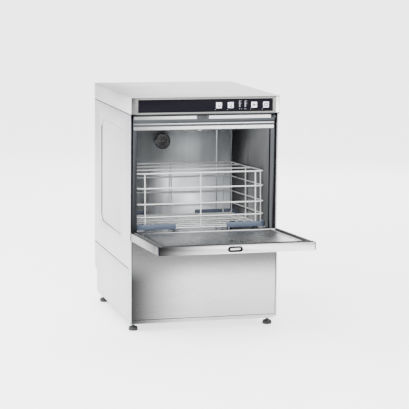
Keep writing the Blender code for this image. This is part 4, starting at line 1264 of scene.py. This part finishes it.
@dataclass
class ControlPanel:
    """The fascia: steel surround and end caps, black film, keys, indicators and bar display."""

    icon_rise: float = 0.00015
    lamp_radius: float = 0.0011
    segments: int = 5
    mark_reach: float = 0.0044
    bar_margin: float = 0.006
    end_width: float = 0.0105

    def build(self) -> None:
        """Builds the panel's pieces from left to right."""
        # The surround takes a steel painted dark as shade.
        refine("fascia_frame", DARKENED_SURROUND_STEEL, 0.0004)
        refine("control_fascia", FASCIA_FILM, 0.0003)
        dress(BOARD, "control_board")
        self.end_caps()
        for icon in Icon:
            refine(icon.value, WHITE_KEY, 0.0)
            self.sign(icon)
        self.indicators()
        self.bars()

    def face(self) -> float:
        """The fascia film's front plane."""
        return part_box("control_fascia")[0].y

    def end_caps(self) -> None:
        """A folded, rounded edge at each end of the surround, in steel lighter than real: a painted highlight."""
        low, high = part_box("fascia_frame")
        for side, name in ((-1, "left"), (1, "right")):
            outer = low.x if side < 0 else high.x
            inner = outer - side * self.end_width
            mesh = bmesh.new()
            block(
                mesh,
                (min(outer, inner), low.y - 0.0012, low.z + 0.0005),
                (max(outer, inner), low.y + 0.0010, high.z - 0.0005),
                0.0010,
                3,
            )
            deliver(object_from(f"fascia_end_{name}", mesh), END_HIGHLIGHT_STEEL, "cabinet")

    def flat(self, centre: Vector, loops: Iterable[Loop], depth: float, name: str) -> bpy.types.Object:
        """Raised flat shapes on a face that looks to the front.

        Args:
            centre: The face's middle.
            loops: Outlines in x and z about it.
            depth: Their rise.
            name: The new piece's name.

        Returns:
            The piece, not yet dressed.
        """
        mesh = bmesh.new()
        place = Matrix.Translation(centre + Vector((0, 0.00005, 0))) @ Matrix.Rotation(math.pi / 2, 4, "X")
        for loop in loops:
            extrude(mesh, loop, depth, place)
        return object_from(name, mesh)

    def sign(self, icon: Icon) -> None:
        """The key's plain sign, which moves with it."""
        low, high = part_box(icon.value)
        size = high.x - low.x
        centre = Vector(((low.x + high.x) / 2, low.y, (low.z + high.z) / 2))
        if icon is Icon.SHORT_CYCLE:
            loops = self.glass(size * 0.56) + self.ticks(1, size)
        elif icon is Icon.LONG_CYCLE:
            loops = self.glass(size * 0.56) + self.ticks(2, size)
        elif icon is Icon.START:
            loops = [[(-size * 0.22, -size * 0.29), (size * 0.34, 0.0), (-size * 0.22, size * 0.29)]]
        else:
            loops = self.power(size * 0.26, size * 0.075)
        made = self.flat(centre, loops, self.icon_rise, icon.value + "_sign")
        deliver(made, ICON_INK, body_of_node(icon.value))

    @staticmethod
    def glass(height: float) -> list[Loop]:
        """A tumbler in outline, as three strokes."""
        top, foot, stroke = height * 0.44, height * 0.30, height * 0.20
        low, high = -height * 0.45, height * 0.55
        left = [(-top, high), (-foot, low), (-foot + stroke, low), (-top + stroke, high)]
        right = [(-x, z) for x, z in reversed(left)]
        return [left, right, rectangle((-foot, low - stroke * 0.1), (foot, low + stroke))]

    @staticmethod
    def ticks(count: int, size: float) -> list[Loop]:
        """Short bars under a sign, one for each step of the programme's length."""
        width, pitch = size * 0.13, size * 0.20
        start = -(count - 1) * pitch / 2
        return [
            rectangle((start + i * pitch - width / 2, -size * 0.40), (start + i * pitch + width / 2, -size * 0.32))
            for i in range(count)
        ]

    @staticmethod
    def power(radius: float, stroke: float) -> list[Loop]:
        """A broken ring with a bar in the break."""
        ring = arc((0, 0), radius + stroke, 120, 420, 24) + arc((0, 0), radius - stroke, 420, 120, 24)
        return [ring, rectangle((-stroke, radius * 0.25), (stroke, radius * 1.45))]

    def indicators(self) -> None:
        """A small lens at the lower left of each key and under each bar."""
        places = []
        for icon in Icon:
            low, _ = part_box(icon.value)
            places.append((low.x - 0.0022, self.face(), low.z - 0.0042))
        low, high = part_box("temperature_display")
        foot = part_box(Icon.START.value)[0].z - 0.0028
        places += [(x, self.face(), foot) for x in (low.x + 0.0060, low.x + 0.0125, high.x - 0.0085, high.x - 0.0045)]
        lens = bmesh.new()
        radius = self.lamp_radius
        lathe(lens, [(0, 0.0006), (radius * 0.6, 0.0005), (radius, 0.0), (0, -0.0002)], Matrix.Identity(4), 16)
        made = GENERATOR.repeat("panel_indicators", places, lens, INDICATOR, (math.pi / 2, 0, 0))
        deliver(made, INDICATOR, "cabinet")

    def bars(self) -> None:
        """The two bar displays: a smoked lens behind, lit and unlit segments, and scale marks."""
        refine("temperature_display", SMOKED_LENS)
        low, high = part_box("temperature_display")
        bars = (low.x + self.bar_margin, high.x - self.bar_margin)
        height = (high.z - low.z) * 0.80
        pitch = height / self.segments
        lit, dim = [], []
        for x in bars:
            for i in range(self.segments):
                z = (low.z + high.z) / 2 - height / 2 + (i + 0.5) * pitch
                (lit if i < self.segments - 1 else dim).append((x, low.y, z))
        for name, points, finish in (("bars_lit", lit, SEGMENT_LIT), ("bars_dim", dim, SEGMENT_DIM)):
            segment = bmesh.new()
            block(segment, (-0.0021, -0.0003, -pitch * 0.40), (0.0021, 0.0004, pitch * 0.40), 0.0002, 1)
            deliver(GENERATOR.repeat(name, points, segment, finish), finish, "cabinet")
        # The scale marks are print, yet they take the indicator lenses' glowing finish: a faint painted glow.
        marks = [
            (x + self.mark_reach, self.face() - 0.00008, (low.z + high.z) / 2 + share * height)
            for x in bars
            for share in (0.44, 0.22, 0.0)
        ]
        mark = bmesh.new()
        block(mark, (-0.0011, -0.0001, -0.0004), (0.0011, 0.0001, 0.0004), 0.0)
        made = GENERATOR.repeat("bar_marks", marks, mark, INDICATOR)
        deliver(made, INDICATOR, "cabinet", smooth=False)


@dataclass
class Mouth:
    """The chamber's front: frame and header, catch, buffer and hinge blocks."""

    catch_ribs: int = 3
    strip: tuple[float, float] = (0.0160, 0.0070)
    rib: tuple[float, float] = (0.0320, 0.0290)
    lip: tuple[float, float] = (0.0480, 0.0382)
    rib_set_back: float = 0.0068
    strip_end: float = 0.0150
    rib_end: float = 0.0030

    def build(self) -> None:
        """Builds the frame's pieces."""
        # The frame takes a steel painted dark as shade.
        refine("front_frame", DARKENED_FRAME_STEEL)
        self.header()
        self.catch()
        low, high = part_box("door_buffer")
        radius = (high.x - low.x) / 2
        length = high.y - low.y
        mesh = bmesh.new()
        centre = Matrix.Translation(((low.x + high.x) / 2, high.y, (low.z + high.z) / 2))
        profile = [(0, length), (radius * 0.5, length * 0.99), (radius * 0.85, length * 0.90), (radius, length * 0.72)]
        profile += [(radius, length * 0.30), (radius * 0.82, length * 0.25), (radius * 0.82, 0.0), (0, 0.0)]
        lathe(mesh, profile, centre @ Matrix.Rotation(math.pi / 2, 4, "X"), 32)
        deliver(object_from("header_buffer", mesh), BLACK_RUBBER, "cabinet", ["door_buffer"])
        for side in ("left", "right"):
            refine(f"{side}_hinge_block", GREY_PLASTIC, 0.0008)

    def header(self) -> None:
        """Faces on the header's strip, rib and lip, above the mouth, in a far lighter steel than the rest of the
        frame: a painted highlight.
        """
        low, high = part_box("front_frame")
        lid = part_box("top_cover")[0].z
        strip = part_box("door_striker")[1].y + 0.0003
        proud = low.y + self.rib_set_back
        mesh = bmesh.new()
        for (foot, top), face, short in (
            (self.strip, strip, self.strip_end),
            (self.rib, proud, self.rib_end),
            (self.lip, proud, self.rib_end),
        ):
            corner = (low.x + 0.0010, face - 0.0003, lid - foot)
            block(mesh, corner, (high.x - short, face + 0.0010, lid - top), 0.0002, 1)
        deliver(object_from("header_faces", mesh), HEADER_HIGHLIGHT_STEEL, "cabinet")

    def catch(self) -> None:
        """The ribbed roller catch that the door snaps on to."""
        low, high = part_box("door_striker")
        mesh = bmesh.new()
        depth = high.y - low.y
        block(mesh, (low.x, low.y + depth * 0.35, low.z), high, 0.0018, 3)
        width = (high.x - low.x) / (self.catch_ribs + 0.4)
        for i in range(self.catch_ribs):
            x = low.x + width * (0.35 + i)
            block(mesh, (x, low.y, low.z + 0.0018), (x + width * 0.62, high.y, high.z - 0.0018), 0.0014, 3)
        deliver(object_from("roller_catch", mesh), CATCH_PLASTIC, "cabinet", ["door_striker"])


@dataclass
class Chamber:
    """The wash tank with its seams, vent, strainer, rails and what stands in it."""

    sheet: float = 0.0015
    seam_radius: float = 0.0016
    fold_radius: float = 0.005
    border: float = 0.012
    hole_pitch: float = 0.0095
    hole_radius: float = 0.0030
    rim: float = 0.009

    def build(self) -> None:
        """Builds the tank's pieces."""
        refine("wash_chamber", TANK)
        self.seams()
        self.corner_folds()
        self.vent()
        self.strainer()
        for side in ("left", "right"):
            refine(f"{side}_rack_rail", BRIGHT_STEEL, 0.0004)
        for node in ("lower_arm_post", "upper_arm_post"):
            refine(node, ARM_STEEL, 0.0004, True)
        refine("overflow_pipe", GREY_PLASTIC, 0.0003, True)
        dress(TANK, "tank_heater")
        dress(STRAINER_STEEL, "sump_filter")
        dress(PUMP_PLASTIC, "tank_sump")

    def inner(self) -> tuple[Vector, Vector]:
        """The tank's inner box."""
        low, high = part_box("wash_chamber")
        return low + Vector((self.sheet, 0, self.sheet)), high - Vector((self.sheet, self.sheet, self.sheet))

    def seams(self) -> None:
        """Upright pressed beads: one on the rear wall and one on each side wall."""
        low, high = self.inner()
        top, foot = high.z - 0.004, low.z + 0.030
        rear = high.y - self.seam_radius * 0.35
        x = low.x + (high.x - low.x) * 0.873
        y = low.y + (high.y - low.y) * 0.55
        lines = [([(x, rear, foot), (x, rear, top)], False)]
        made = GENERATOR.wire("rear_wall_bead", lines, self.seam_radius, BRIGHT_STEEL)
        deliver(made, BRIGHT_STEEL, "cabinet")
        sides = []
        for wall, sign in ((low.x, 1), (high.x, -1)):
            at = wall + sign * self.seam_radius * 0.2
            sides.append(([(at, y, foot), (at, y, top)], False))
        made = GENERATOR.wire("side_wall_beads", sides, self.seam_radius * 0.6, TANK)
        deliver(made, TANK, "cabinet")

    def corner_folds(self) -> None:
        """Hollow fillets in the tank's two upright rear corners, in a far darker steel than the tank: painted shade in
        the corners.
        """
        low, high = self.inner()
        radius = self.fold_radius
        mesh = bmesh.new()
        for wall, sign in ((low.x, 1), (high.x, -1)):
            curve = arc((wall + sign * radius, high.y - radius), radius, 90, 180 if sign > 0 else 0, 8)
            outline = [(wall, high.y), *curve]
            extrude(mesh, outline, high.z - low.z - 0.002, Matrix.Translation((0, 0, low.z + 0.001)))
        deliver(object_from("tank_corner_folds", mesh), FOLD_SHADE_STEEL, "cabinet")

    def vent(self) -> None:
        """The black screwed fitting high on the rear wall, with stepped rings whose edges carry a painted highlight,
        and a dark bore.
        """
        low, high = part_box("vent_fitting")
        radius, depth = (high.x - low.x) / 2, high.y - low.y
        section = [(0.0, 0.30), (0.22, 0.30), (0.26, 0.36), (0.26, 0.88), (0.31, 0.97), (0.44, 0.97), (0.50, 0.88)]
        section += [(0.50, 0.66), (0.56, 0.60), (0.66, 0.60), (0.71, 0.66), (0.71, 0.90), (0.76, 1.0), (0.92, 1.0)]
        section += [(0.98, 0.92), (1.0, 0.80), (1.0, 0.0), (0.0, 0.0)]
        mesh = bmesh.new()
        centre = Matrix.Translation(((low.x + high.x) / 2, high.y, (low.z + high.z) / 2))
        profile = [(share * radius, rise * depth) for share, rise in section]
        lathe(mesh, profile, centre @ Matrix.Rotation(math.pi / 2, 4, "X"), 64)
        deliver(object_from("vent_rings", mesh), VENT_PLASTIC, "cabinet", ["vent_fitting"])

    def strainer(self) -> None:
        """A perforated sheet with pressed rims round its three openings."""
        low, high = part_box("tank_strainer")
        openings = [self.round_place("sump_filter", 0.0), self.round_place("lower_arm_post", 0.0)]
        openings.append(self.round_place("overflow_pipe", 0.0015))
        mesh = bmesh.new()
        pitch = self.hole_pitch
        across = int((high.x - low.x - 2 * self.border) / pitch)
        deep = int((high.y - low.y - 2 * self.border) / pitch)
        start = Vector(((low.x + high.x - across * pitch) / 2, (low.y + high.y - deep * pitch) / 2))
        end = start + Vector((across * pitch, deep * pitch))
        frames = [
            ((low.x, low.y), (high.x, start.y)),
            ((low.x, end.y), (high.x, high.y)),
            ((low.x, start.y), (start.x, end.y)),
            ((end.x, start.y), (high.x, end.y)),
        ]
        for corner, far in frames:
            extrude(mesh, rectangle(corner, far), high.z - low.z, Matrix.Translation((0, 0, low.z)))
        for x, y, radius in openings:
            ring = [(radius, high.z + 0.0008), (radius, low.z), (radius + self.rim * 1.35, low.z)]
            ring += [(radius + self.rim * 1.35, high.z + 0.0002), (radius + 0.002, high.z + 0.0008)]
            lathe(mesh, ring, Matrix.Translation((x, y, 0)), 40)
        deliver(object_from("strainer_border", mesh), STRAINER_STEEL, "cabinet", ["tank_strainer"])
        points = []
        for i in range(across):
            for j in range(deep):
                x, y = start.x + (i + 0.5) * pitch, start.y + (j + 0.5) * pitch
                if all(math.hypot(x - u, y - v) > radius + self.rim * 0.6 for u, v, radius in openings):
                    points.append((x, y, high.z))
        made = GENERATOR.repeat("strainer_holes", points, self.cell(pitch, high.z - low.z), STRAINER_STEEL)
        deliver(made, STRAINER_STEEL, "cabinet")

    @staticmethod
    def round_place(node: str, slack: float) -> tuple[float, float, float]:
        """The middle of a round node and its radius with slack."""
        low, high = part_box(node)
        return (low.x + high.x) / 2, (low.y + high.y) / 2, (high.x - low.x) / 2 + slack

    def cell(self, pitch: float, sheet: float) -> bmesh.types.BMesh:
        """One square of the strainer with a round hole through it.

        Args:
            pitch: The square's side.
            sheet: The sheet's thickness.

        Returns:
            The cell, with its top at z 0.
        """
        mesh = bmesh.new()
        half = pitch / 2
        hole = arc((0, 0), self.hole_radius, 0, 315, 7)
        square = [(half, 0), (half, half), (0, half), (-half, half)]
        square += [(-half, 0), (-half, -half), (0, -half), (half, -half)]
        rings = []
        for loop, height in ((square, 0.0), (hole, 0.0), (hole, -sheet), (square, -sheet)):
            rings.append([mesh.verts.new((x, y, height)) for x, y in loop])
        for first, second in zip(rings, rings[1:]):
            for i in range(len(hole)):
                after = (i + 1) % len(hole)
                mesh.faces.new((first[i], first[after], second[after], second[i]))
        return mesh


@dataclass
class SprayArms:
    """The four turning arms, with a raised nozzle row on each blade."""

    nozzle_radius: float = 0.0048
    nozzle_rise: float = 0.0016
    nozzles: int = 5
    first_nozzle: float = 0.24
    nozzle_step: float = 0.155

    def build(self) -> None:
        """Refines each arm and sets its nozzles towards the glasses."""
        for level, up in (("lower", 1), ("upper", -1)):
            for kind, share in (("wash", 1.0), ("rinse", 0.55)):
                name = f"{level}_{kind}_arm"
                refine(name, ARM_STEEL, 0.0012)
                self.row(name, up, share)

    def row(self, name: str, up: int, share: float) -> None:
        """One arm's nozzles.

        Args:
            name: The arm's node.
            up: 1 if they spray upwards and -1 if down.
            share: The nozzles' size against the wash arm's.
        """
        low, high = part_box(name)
        middle = (low + high) / 2
        reach = (high.y - low.y) / 2
        face = high.z if up > 0 else low.z
        radius = self.nozzle_radius * share
        rise = self.nozzle_rise * share
        nozzle = bmesh.new()
        profile = [(radius, -0.0003), (radius * 0.85, rise), (radius * 0.50, rise), (radius * 0.40, rise * 0.2)]
        lathe(nozzle, profile + [(0, rise * 0.2), (0, -0.0003)], Matrix.Identity(4), 20)
        points = [
            (middle.x, middle.y + side * reach * (self.first_nozzle + self.nozzle_step * i), face)
            for side in (-1, 1)
            for i in range(self.nozzles)
        ]
        turn = (0.0 if up > 0 else math.pi, 0.0, 0.0)
        made = GENERATOR.repeat(name + "_nozzles", points, nozzle, BRIGHT_STEEL, turn)
        deliver(made, BRIGHT_STEEL, body_of_node(name))


@dataclass
class Door:
    """The drop door: outer skin, pressed liner, seal, catch insert and corner blocks."""

    seal_radius: float = 0.0036
    seal_width: float = 0.009
    seal_height: float = 0.0022
    bezel_rim: tuple[float, float] = (0.0060, 0.0055)
    bezel_lap: tuple[float, float] = (0.0050, 0.0048)
    corner_width: float = 0.0035
    corner_length: float = 0.0340
    corner_proud: float = 0.0005

    def build(self) -> None:
        """Builds the door's pieces in the slope's frame."""
        refine("door_skin", DOOR_STEEL, 0.0006)
        # The liner takes a steel painted dark as shade.
        refine("door_liner", DARKENED_LINER_STEEL, 0.0010)
        self.seal()
        self.catch_insert()
        self.corners()

    def seal(self) -> None:
        """A round lip seal on its base strip, along three sides of the liner."""
        low, high = SLOPE.box("door_gasket")
        base = bmesh.new()
        inset = self.seal_width / 2
        left, right = low.x + inset, high.x - inset
        front, rear = low.y + inset, high.y - 0.001
        height = high.z - self.seal_radius
        line = [(left, rear, height), (left, front, height), (right, front, height), (right, rear, height)]
        lip = GENERATOR.wire("door_seal_lip", [(line, False)], self.seal_radius, BLACK_RUBBER, 0.006, 16)
        width = self.seal_width
        for corner, far in (
            ((low.x, low.y), (low.x + width, rear)),
            ((high.x - width, low.y), (high.x, rear)),
            ((low.x + width, low.y), (high.x - width, low.y + width)),
        ):
            block(base, (*corner, low.z), (*far, low.z + self.seal_height), 0.0004, 1)
        strip = object_from("door_seal_base", base)
        deliver(SLOPE.put(lip), BLACK_RUBBER, "door", ["door_gasket"])
        deliver(SLOPE.put(strip), BLACK_RUBBER, "door")

    def catch_insert(self) -> None:
        """The black oval bezel in the door's front edge, with a bright plate inside it."""
        skin_low, _ = SLOPE.box("door_skin")
        middle, width, height = self.catch_place()
        outer = slot_outline(width + self.bezel_rim[0], height + self.bezel_rim[1], 12)
        inner = slot_outline(width - self.bezel_lap[0], height - self.bezel_lap[1], 12)
        rings = []
        bezel = bmesh.new()
        for loop, rise in ((outer, 0.0002), (outer, -0.0009), (inner, -0.0013), (inner, 0.0030)):
            rings.append([bezel.verts.new((middle.x + x, skin_low.y + rise, middle.z + y)) for x, y in loop])
        for first, second in zip(rings, rings[1:] + rings[:1]):
            for i in range(len(first)):
                after = (i + 1) % len(first)
                bezel.faces.new((first[i], first[after], second[after], second[i]))
        deliver(SLOPE.put(object_from("catch_bezel", bezel)), FASCIA_FILM, "door")
        plate = bmesh.new()
        face = skin_low.y + 0.0012
        block(
            plate,
            (middle.x - width * 0.38, face, middle.z - height * 0.30),
            (middle.x + width * 0.38, face + 0.002, middle.z + height * 0.16),
            0.0007,
            2,
        )
        block(
            plate,
            (middle.x - width * 0.46, face + 0.0016, middle.z - height * 0.45),
            (middle.x + width * 0.46, face + 0.0030, middle.z + height * 0.45),
            0.0003,
            1,
        )
        deliver(SLOPE.put(object_from("catch_plate", plate)), BRIGHT_STEEL, "door")

    @staticmethod
    def catch_place() -> tuple[Vector, float, float]:
        """The slot's middle and its width and height, read from the skin's front face."""
        low, high = SLOPE.box("door_skin")
        back = SLOPE.place.inverted()
        points = [back @ vert.co for vert in frame["nodes"]["door_skin"].data.vertices]
        margin = 0.0022
        rim = [
            point
            for point in points
            if abs(point.y - low.y) < 1e-4
            and low.x + 0.05 < point.x < high.x - 0.05
            and low.z + margin < point.z < high.z - margin
        ]
        xs, zs = [point.x for point in rim], [point.z for point in rim]
        middle = Vector(((min(xs) + max(xs)) / 2, low.y, (min(zs) + max(zs)) / 2))
        return middle, max(xs) - min(xs), max(zs) - min(zs)

    def corners(self) -> None:
        """Black blocks at the door's front corners, which close the ends of its folded sides."""
        low, high = SLOPE.box("door_skin")
        mesh = bmesh.new()
        for side in (-1, 1):
            outer = low.x - self.corner_proud if side < 0 else high.x + self.corner_proud
            inner = outer - side * self.corner_width
            block(
                mesh,
                (min(outer, inner), low.y - 0.0002, low.z + 0.0010),
                (max(outer, inner), low.y + self.corner_length, high.z + 0.0004),
                0.0008,
                2,
            )
        deliver(SLOPE.put(object_from("door_corner_blocks", mesh)), FASCIA_FILM, "door")


@dataclass
class Basket:
    """The coated wire basket: rings, uprights, floor and dividers, and its corner guards."""

    wire: float = 0.0021
    thin: float = 0.0019
    ring_heights: tuple[float, ...] = (0.003, 0.038, 0.077, 0.125, 0.170)
    corner: float = 0.016
    uprights: tuple[float, ...] = (-0.43, 0.0, 0.43)
    floor_wires: int = 15
    dividers: tuple[float, ...] = (0.36, 0.69)
    field_low: Vector = field(default_factory=Vector)
    field_high: Vector = field(default_factory=Vector)

    def build(self) -> None:
        """Builds the wires and the guards in the slope's frame."""
        self.field_low, self.field_high = SLOPE.box("basket")
        self.frame_wires()
        self.floor()
        self.guards()

    def rect(self, inset: float, height: float) -> list[Point]:
        """A ring's four corners before they are bent."""
        low, high = self.field_low, self.field_high
        z = low.z + height
        loop = rectangle((low.x + inset, low.y + inset), (high.x - inset, high.y - inset))
        return [(x, y, z) for x, y in loop]

    def frame_wires(self) -> None:
        """The rings, with the U-shaped wires that pass under them and end at the rim."""
        radius = self.wire
        foot = self.field_low.z
        offset = radius - self.ring_heights[0]
        lines = [(self.rect(radius, height + offset), True) for height in self.ring_heights]
        made = GENERATOR.wire("basket_rings", lines, radius, WIRE_COATING, self.corner, 12)
        deliver(SLOPE.put(made), WIRE_COATING, "basket", ["basket"])
        low, high = self.field_low, self.field_high
        inset = radius * 2 + self.thin * 0.7
        top = foot + self.ring_heights[-1] + offset + radius * 0.6
        bars = []
        middle = (low + high) / 2
        for share in self.uprights:
            x = middle.x + share * (high.x - low.x)
            front, rear = low.y + inset, high.y - inset
            lowest = foot + self.thin
            bars.append(([(x, front, top), (x, front, lowest), (x, rear, lowest), (x, rear, top)], False))
            y = middle.y + share * (high.y - low.y)
            left, right = low.x + inset, high.x - inset
            lowest = foot + self.thin * 2.6
            bars.append(([(left, y, top), (left, y, lowest), (right, y, lowest), (right, y, top)], False))
        made = GENERATOR.wire("basket_uprights", bars, self.thin, WIRE_COATING, 0.007, 12)
        deliver(SLOPE.put(made), WIRE_COATING, "basket")

    def floor(self) -> None:
        """The floor grid and the divider wires across the rim."""
        low, high = self.field_low, self.field_high
        lines = []
        lift = low.z + self.thin
        for i in range(1, self.floor_wires):
            share = i / self.floor_wires
            x = low.x + share * (high.x - low.x)
            lines.append(([(x, low.y + 0.003, lift), (x, high.y - 0.003, lift)], False))
            y = low.y + share * (high.y - low.y)
            if i % 2:
                lines.append(([(low.x + 0.003, y, lift + 0.0032), (high.x - 0.003, y, lift + 0.0032)], False))
        made = GENERATOR.wire("basket_floor", lines, 0.0014, WIRE_COATING, 0.002, 8)
        deliver(SLOPE.put(made), WIRE_COATING, "basket")
        height = high.z - self.wire * 1.2
        rows = []
        for share in self.dividers:
            y = low.y + share * (high.y - low.y)
            rows.append(([(low.x + 0.0015, y, height), (high.x - 0.0015, y, height)], False))
        made = GENERATOR.wire("basket_dividers", rows, self.thin, WIRE_COATING, 0.002, 12)
        deliver(SLOPE.put(made), WIRE_COATING, "basket")

    def guards(self) -> None:
        """The four plastic corner runners, with softened edges."""
        for end in ("front", "rear"):
            for side in ("left", "right"):
                refine(f"basket_guard_{end}_{side}", GUARD_PLASTIC, 0.0012)


@dataclass
class Machinery:
    """What stands behind the panels, and the ports in the rear step."""

    def build(self) -> None:
        """Dresses the hidden pieces and smooths those that show from behind."""
        dress(PUMP_PLASTIC, "wash_pump_housing")
        dress(MOTOR, "wash_pump_motor")
        dress(BLACK_RUBBER, "suction_pipe", "pressure_pipe", "riser_pipe", "drain_hose")
        dress(FRONT_STEEL, "boiler")
        dress(BLACK_PLASTIC, "drain_pump", "pump_impeller")
        refine("water_inlet", BRASS, 0.0003, True)
        refine("drain_spigot", BLACK_PLASTIC, 0.0003, True)
        refine("cable_gland", BLACK_PLASTIC, 0.0003, True)


# ---- Studio ---------------------------------------------------------------------------------
@dataclass(frozen=True)
class SoftBox:
    """One soft rectangular light."""

    name: str
    place: Point
    target: Point
    size: tuple[float, float]
    power: float

    def build(self) -> None:
        """Makes the light and aims it."""
        data = bpy.data.lights.new(self.name, "AREA")
        data.shape = "RECTANGLE"
        data.size, data.size_y = self.size
        data.energy = self.power
        lamp = bpy.data.objects.new(self.name, data)
        lamp.location = self.place
        lamp.rotation_euler = (Vector(self.target) - Vector(self.place)).to_track_quat("-Z", "Y").to_euler()
        bpy.context.scene.collection.objects.link(lamp)


@dataclass(frozen=True)
class Studio:
    """Pale floor, soft sky, soft boxes and the camera."""

    floor_reach: float = 40.0
    floor_drop: float = 0.0002
    floor_colour: Colour = (0.92, 0.92, 0.92)
    horizon: Colour = (0.62, 0.62, 0.64)
    zenith: Colour = (1.0, 1.0, 1.0)
    zenith_from: float = 0.75
    sky_strength: float = 2.6
    lens: float = 152.58
    sensor: float = 36.0
    view_reach: float = 200.0
    place: Point = (-1.3417, -5.0687, 1.1739)
    heading: float = 15.057
    pitch: float = -8.704
    roll: float = 0.556
    boxes: tuple[SoftBox, ...] = (
        SoftBox("key", (-1.6, -2.6, 3.0), (0.0, 0.1, 0.4), (2.4, 2.0), 170.0),
        SoftBox("left_wall", (-3.2, 0.6, 1.3), (0.0, 0.2, 0.4), (2.4, 2.2), 190.0),
        SoftBox("front_low", (1.0, -3.6, 0.9), (0.0, 0.0, 0.35), (1.4, 1.4), 10.0),
        SoftBox("rear", (1.4, 3.2, 1.8), (0.0, 0.3, 0.4), (2.2, 2.0), 60.0),
    )

    def build(self) -> None:
        """Builds the whole studio."""
        self.floor()
        self.sky()
        for box in self.boxes:
            box.build()
        self.camera()

    def floor(self) -> None:
        """A wide pale floor at the feet's underside."""
        mesh = bmesh.new()
        bmesh.ops.create_grid(mesh, x_segments=1, y_segments=1, size=self.floor_reach)
        data = bpy.data.meshes.new("studio_floor")
        mesh.to_mesh(data)
        mesh.free()
        floor = bpy.data.objects.new("studio_floor", data)
        floor.location.z = cad_low.z - self.floor_drop
        data.materials.append(StudioFloor("floor_paint", self.floor_colour).material())
        bpy.context.scene.collection.objects.link(floor)

    def sky(self) -> None:
        """A soft sky: bright above, dimmer round the horizon."""
        world = bpy.data.worlds.new("studio_sky")
        world.use_nodes = True
        tree = world.node_tree
        tree.nodes.clear()
        place = tree.nodes.new("ShaderNodeTexCoord")
        split = tree.nodes.new("ShaderNodeSeparateXYZ")
        tree.links.new(place.outputs["Generated"], split.inputs[0])
        ramp = tree.nodes.new("ShaderNodeValToRGB")
        tree.links.new(split.outputs["Z"], ramp.inputs[0])
        stops = ((0.0, self.horizon), (self.zenith_from, self.zenith))
        for stop, (height, colour) in zip(ramp.color_ramp.elements, stops):
            stop.position = height
            stop.color = (*colour, 1.0)
        back = tree.nodes.new("ShaderNodeBackground")
        tree.links.new(ramp.outputs[0], back.inputs["Color"])
        back.inputs["Strength"].default_value = self.sky_strength
        out = tree.nodes.new("ShaderNodeOutputWorld")
        tree.links.new(back.outputs[0], out.inputs["Surface"])
        bpy.context.scene.world = world

    def camera(self) -> None:
        """A long lens at the front left, a little above the machine."""
        data = bpy.data.cameras.new("studio_camera")
        data.lens = self.lens
        data.sensor_width = self.sensor
        data.clip_end = self.view_reach
        camera = bpy.data.objects.new("studio_camera", data)
        turn = Matrix.Rotation(-math.radians(self.heading), 4, "Z")
        lift = Matrix.Rotation(math.radians(90 + self.pitch), 4, "X")
        tip = Matrix.Rotation(math.radians(self.roll), 4, "Z")
        camera.matrix_world = Matrix.Translation(self.place) @ turn @ lift @ tip
        bpy.context.scene.collection.objects.link(camera)
        bpy.context.scene.camera = camera


def main() -> None:
    """Builds every sub-assembly, then the studio."""
    logging.basicConfig(level=logging.INFO, format="%(message)s")
    for assembly in (
        Cabinet(),
        Feet(),
        ControlPanel(),
        Mouth(),
        Chamber(),
        SprayArms(),
        Door(),
        Basket(),
        Machinery(),
    ):
        log.info("-- %s", type(assembly).__name__)
        assembly.build()
    Studio().build()
    bpy.context.view_layer.update()


if __name__ == "__main__":
    main()
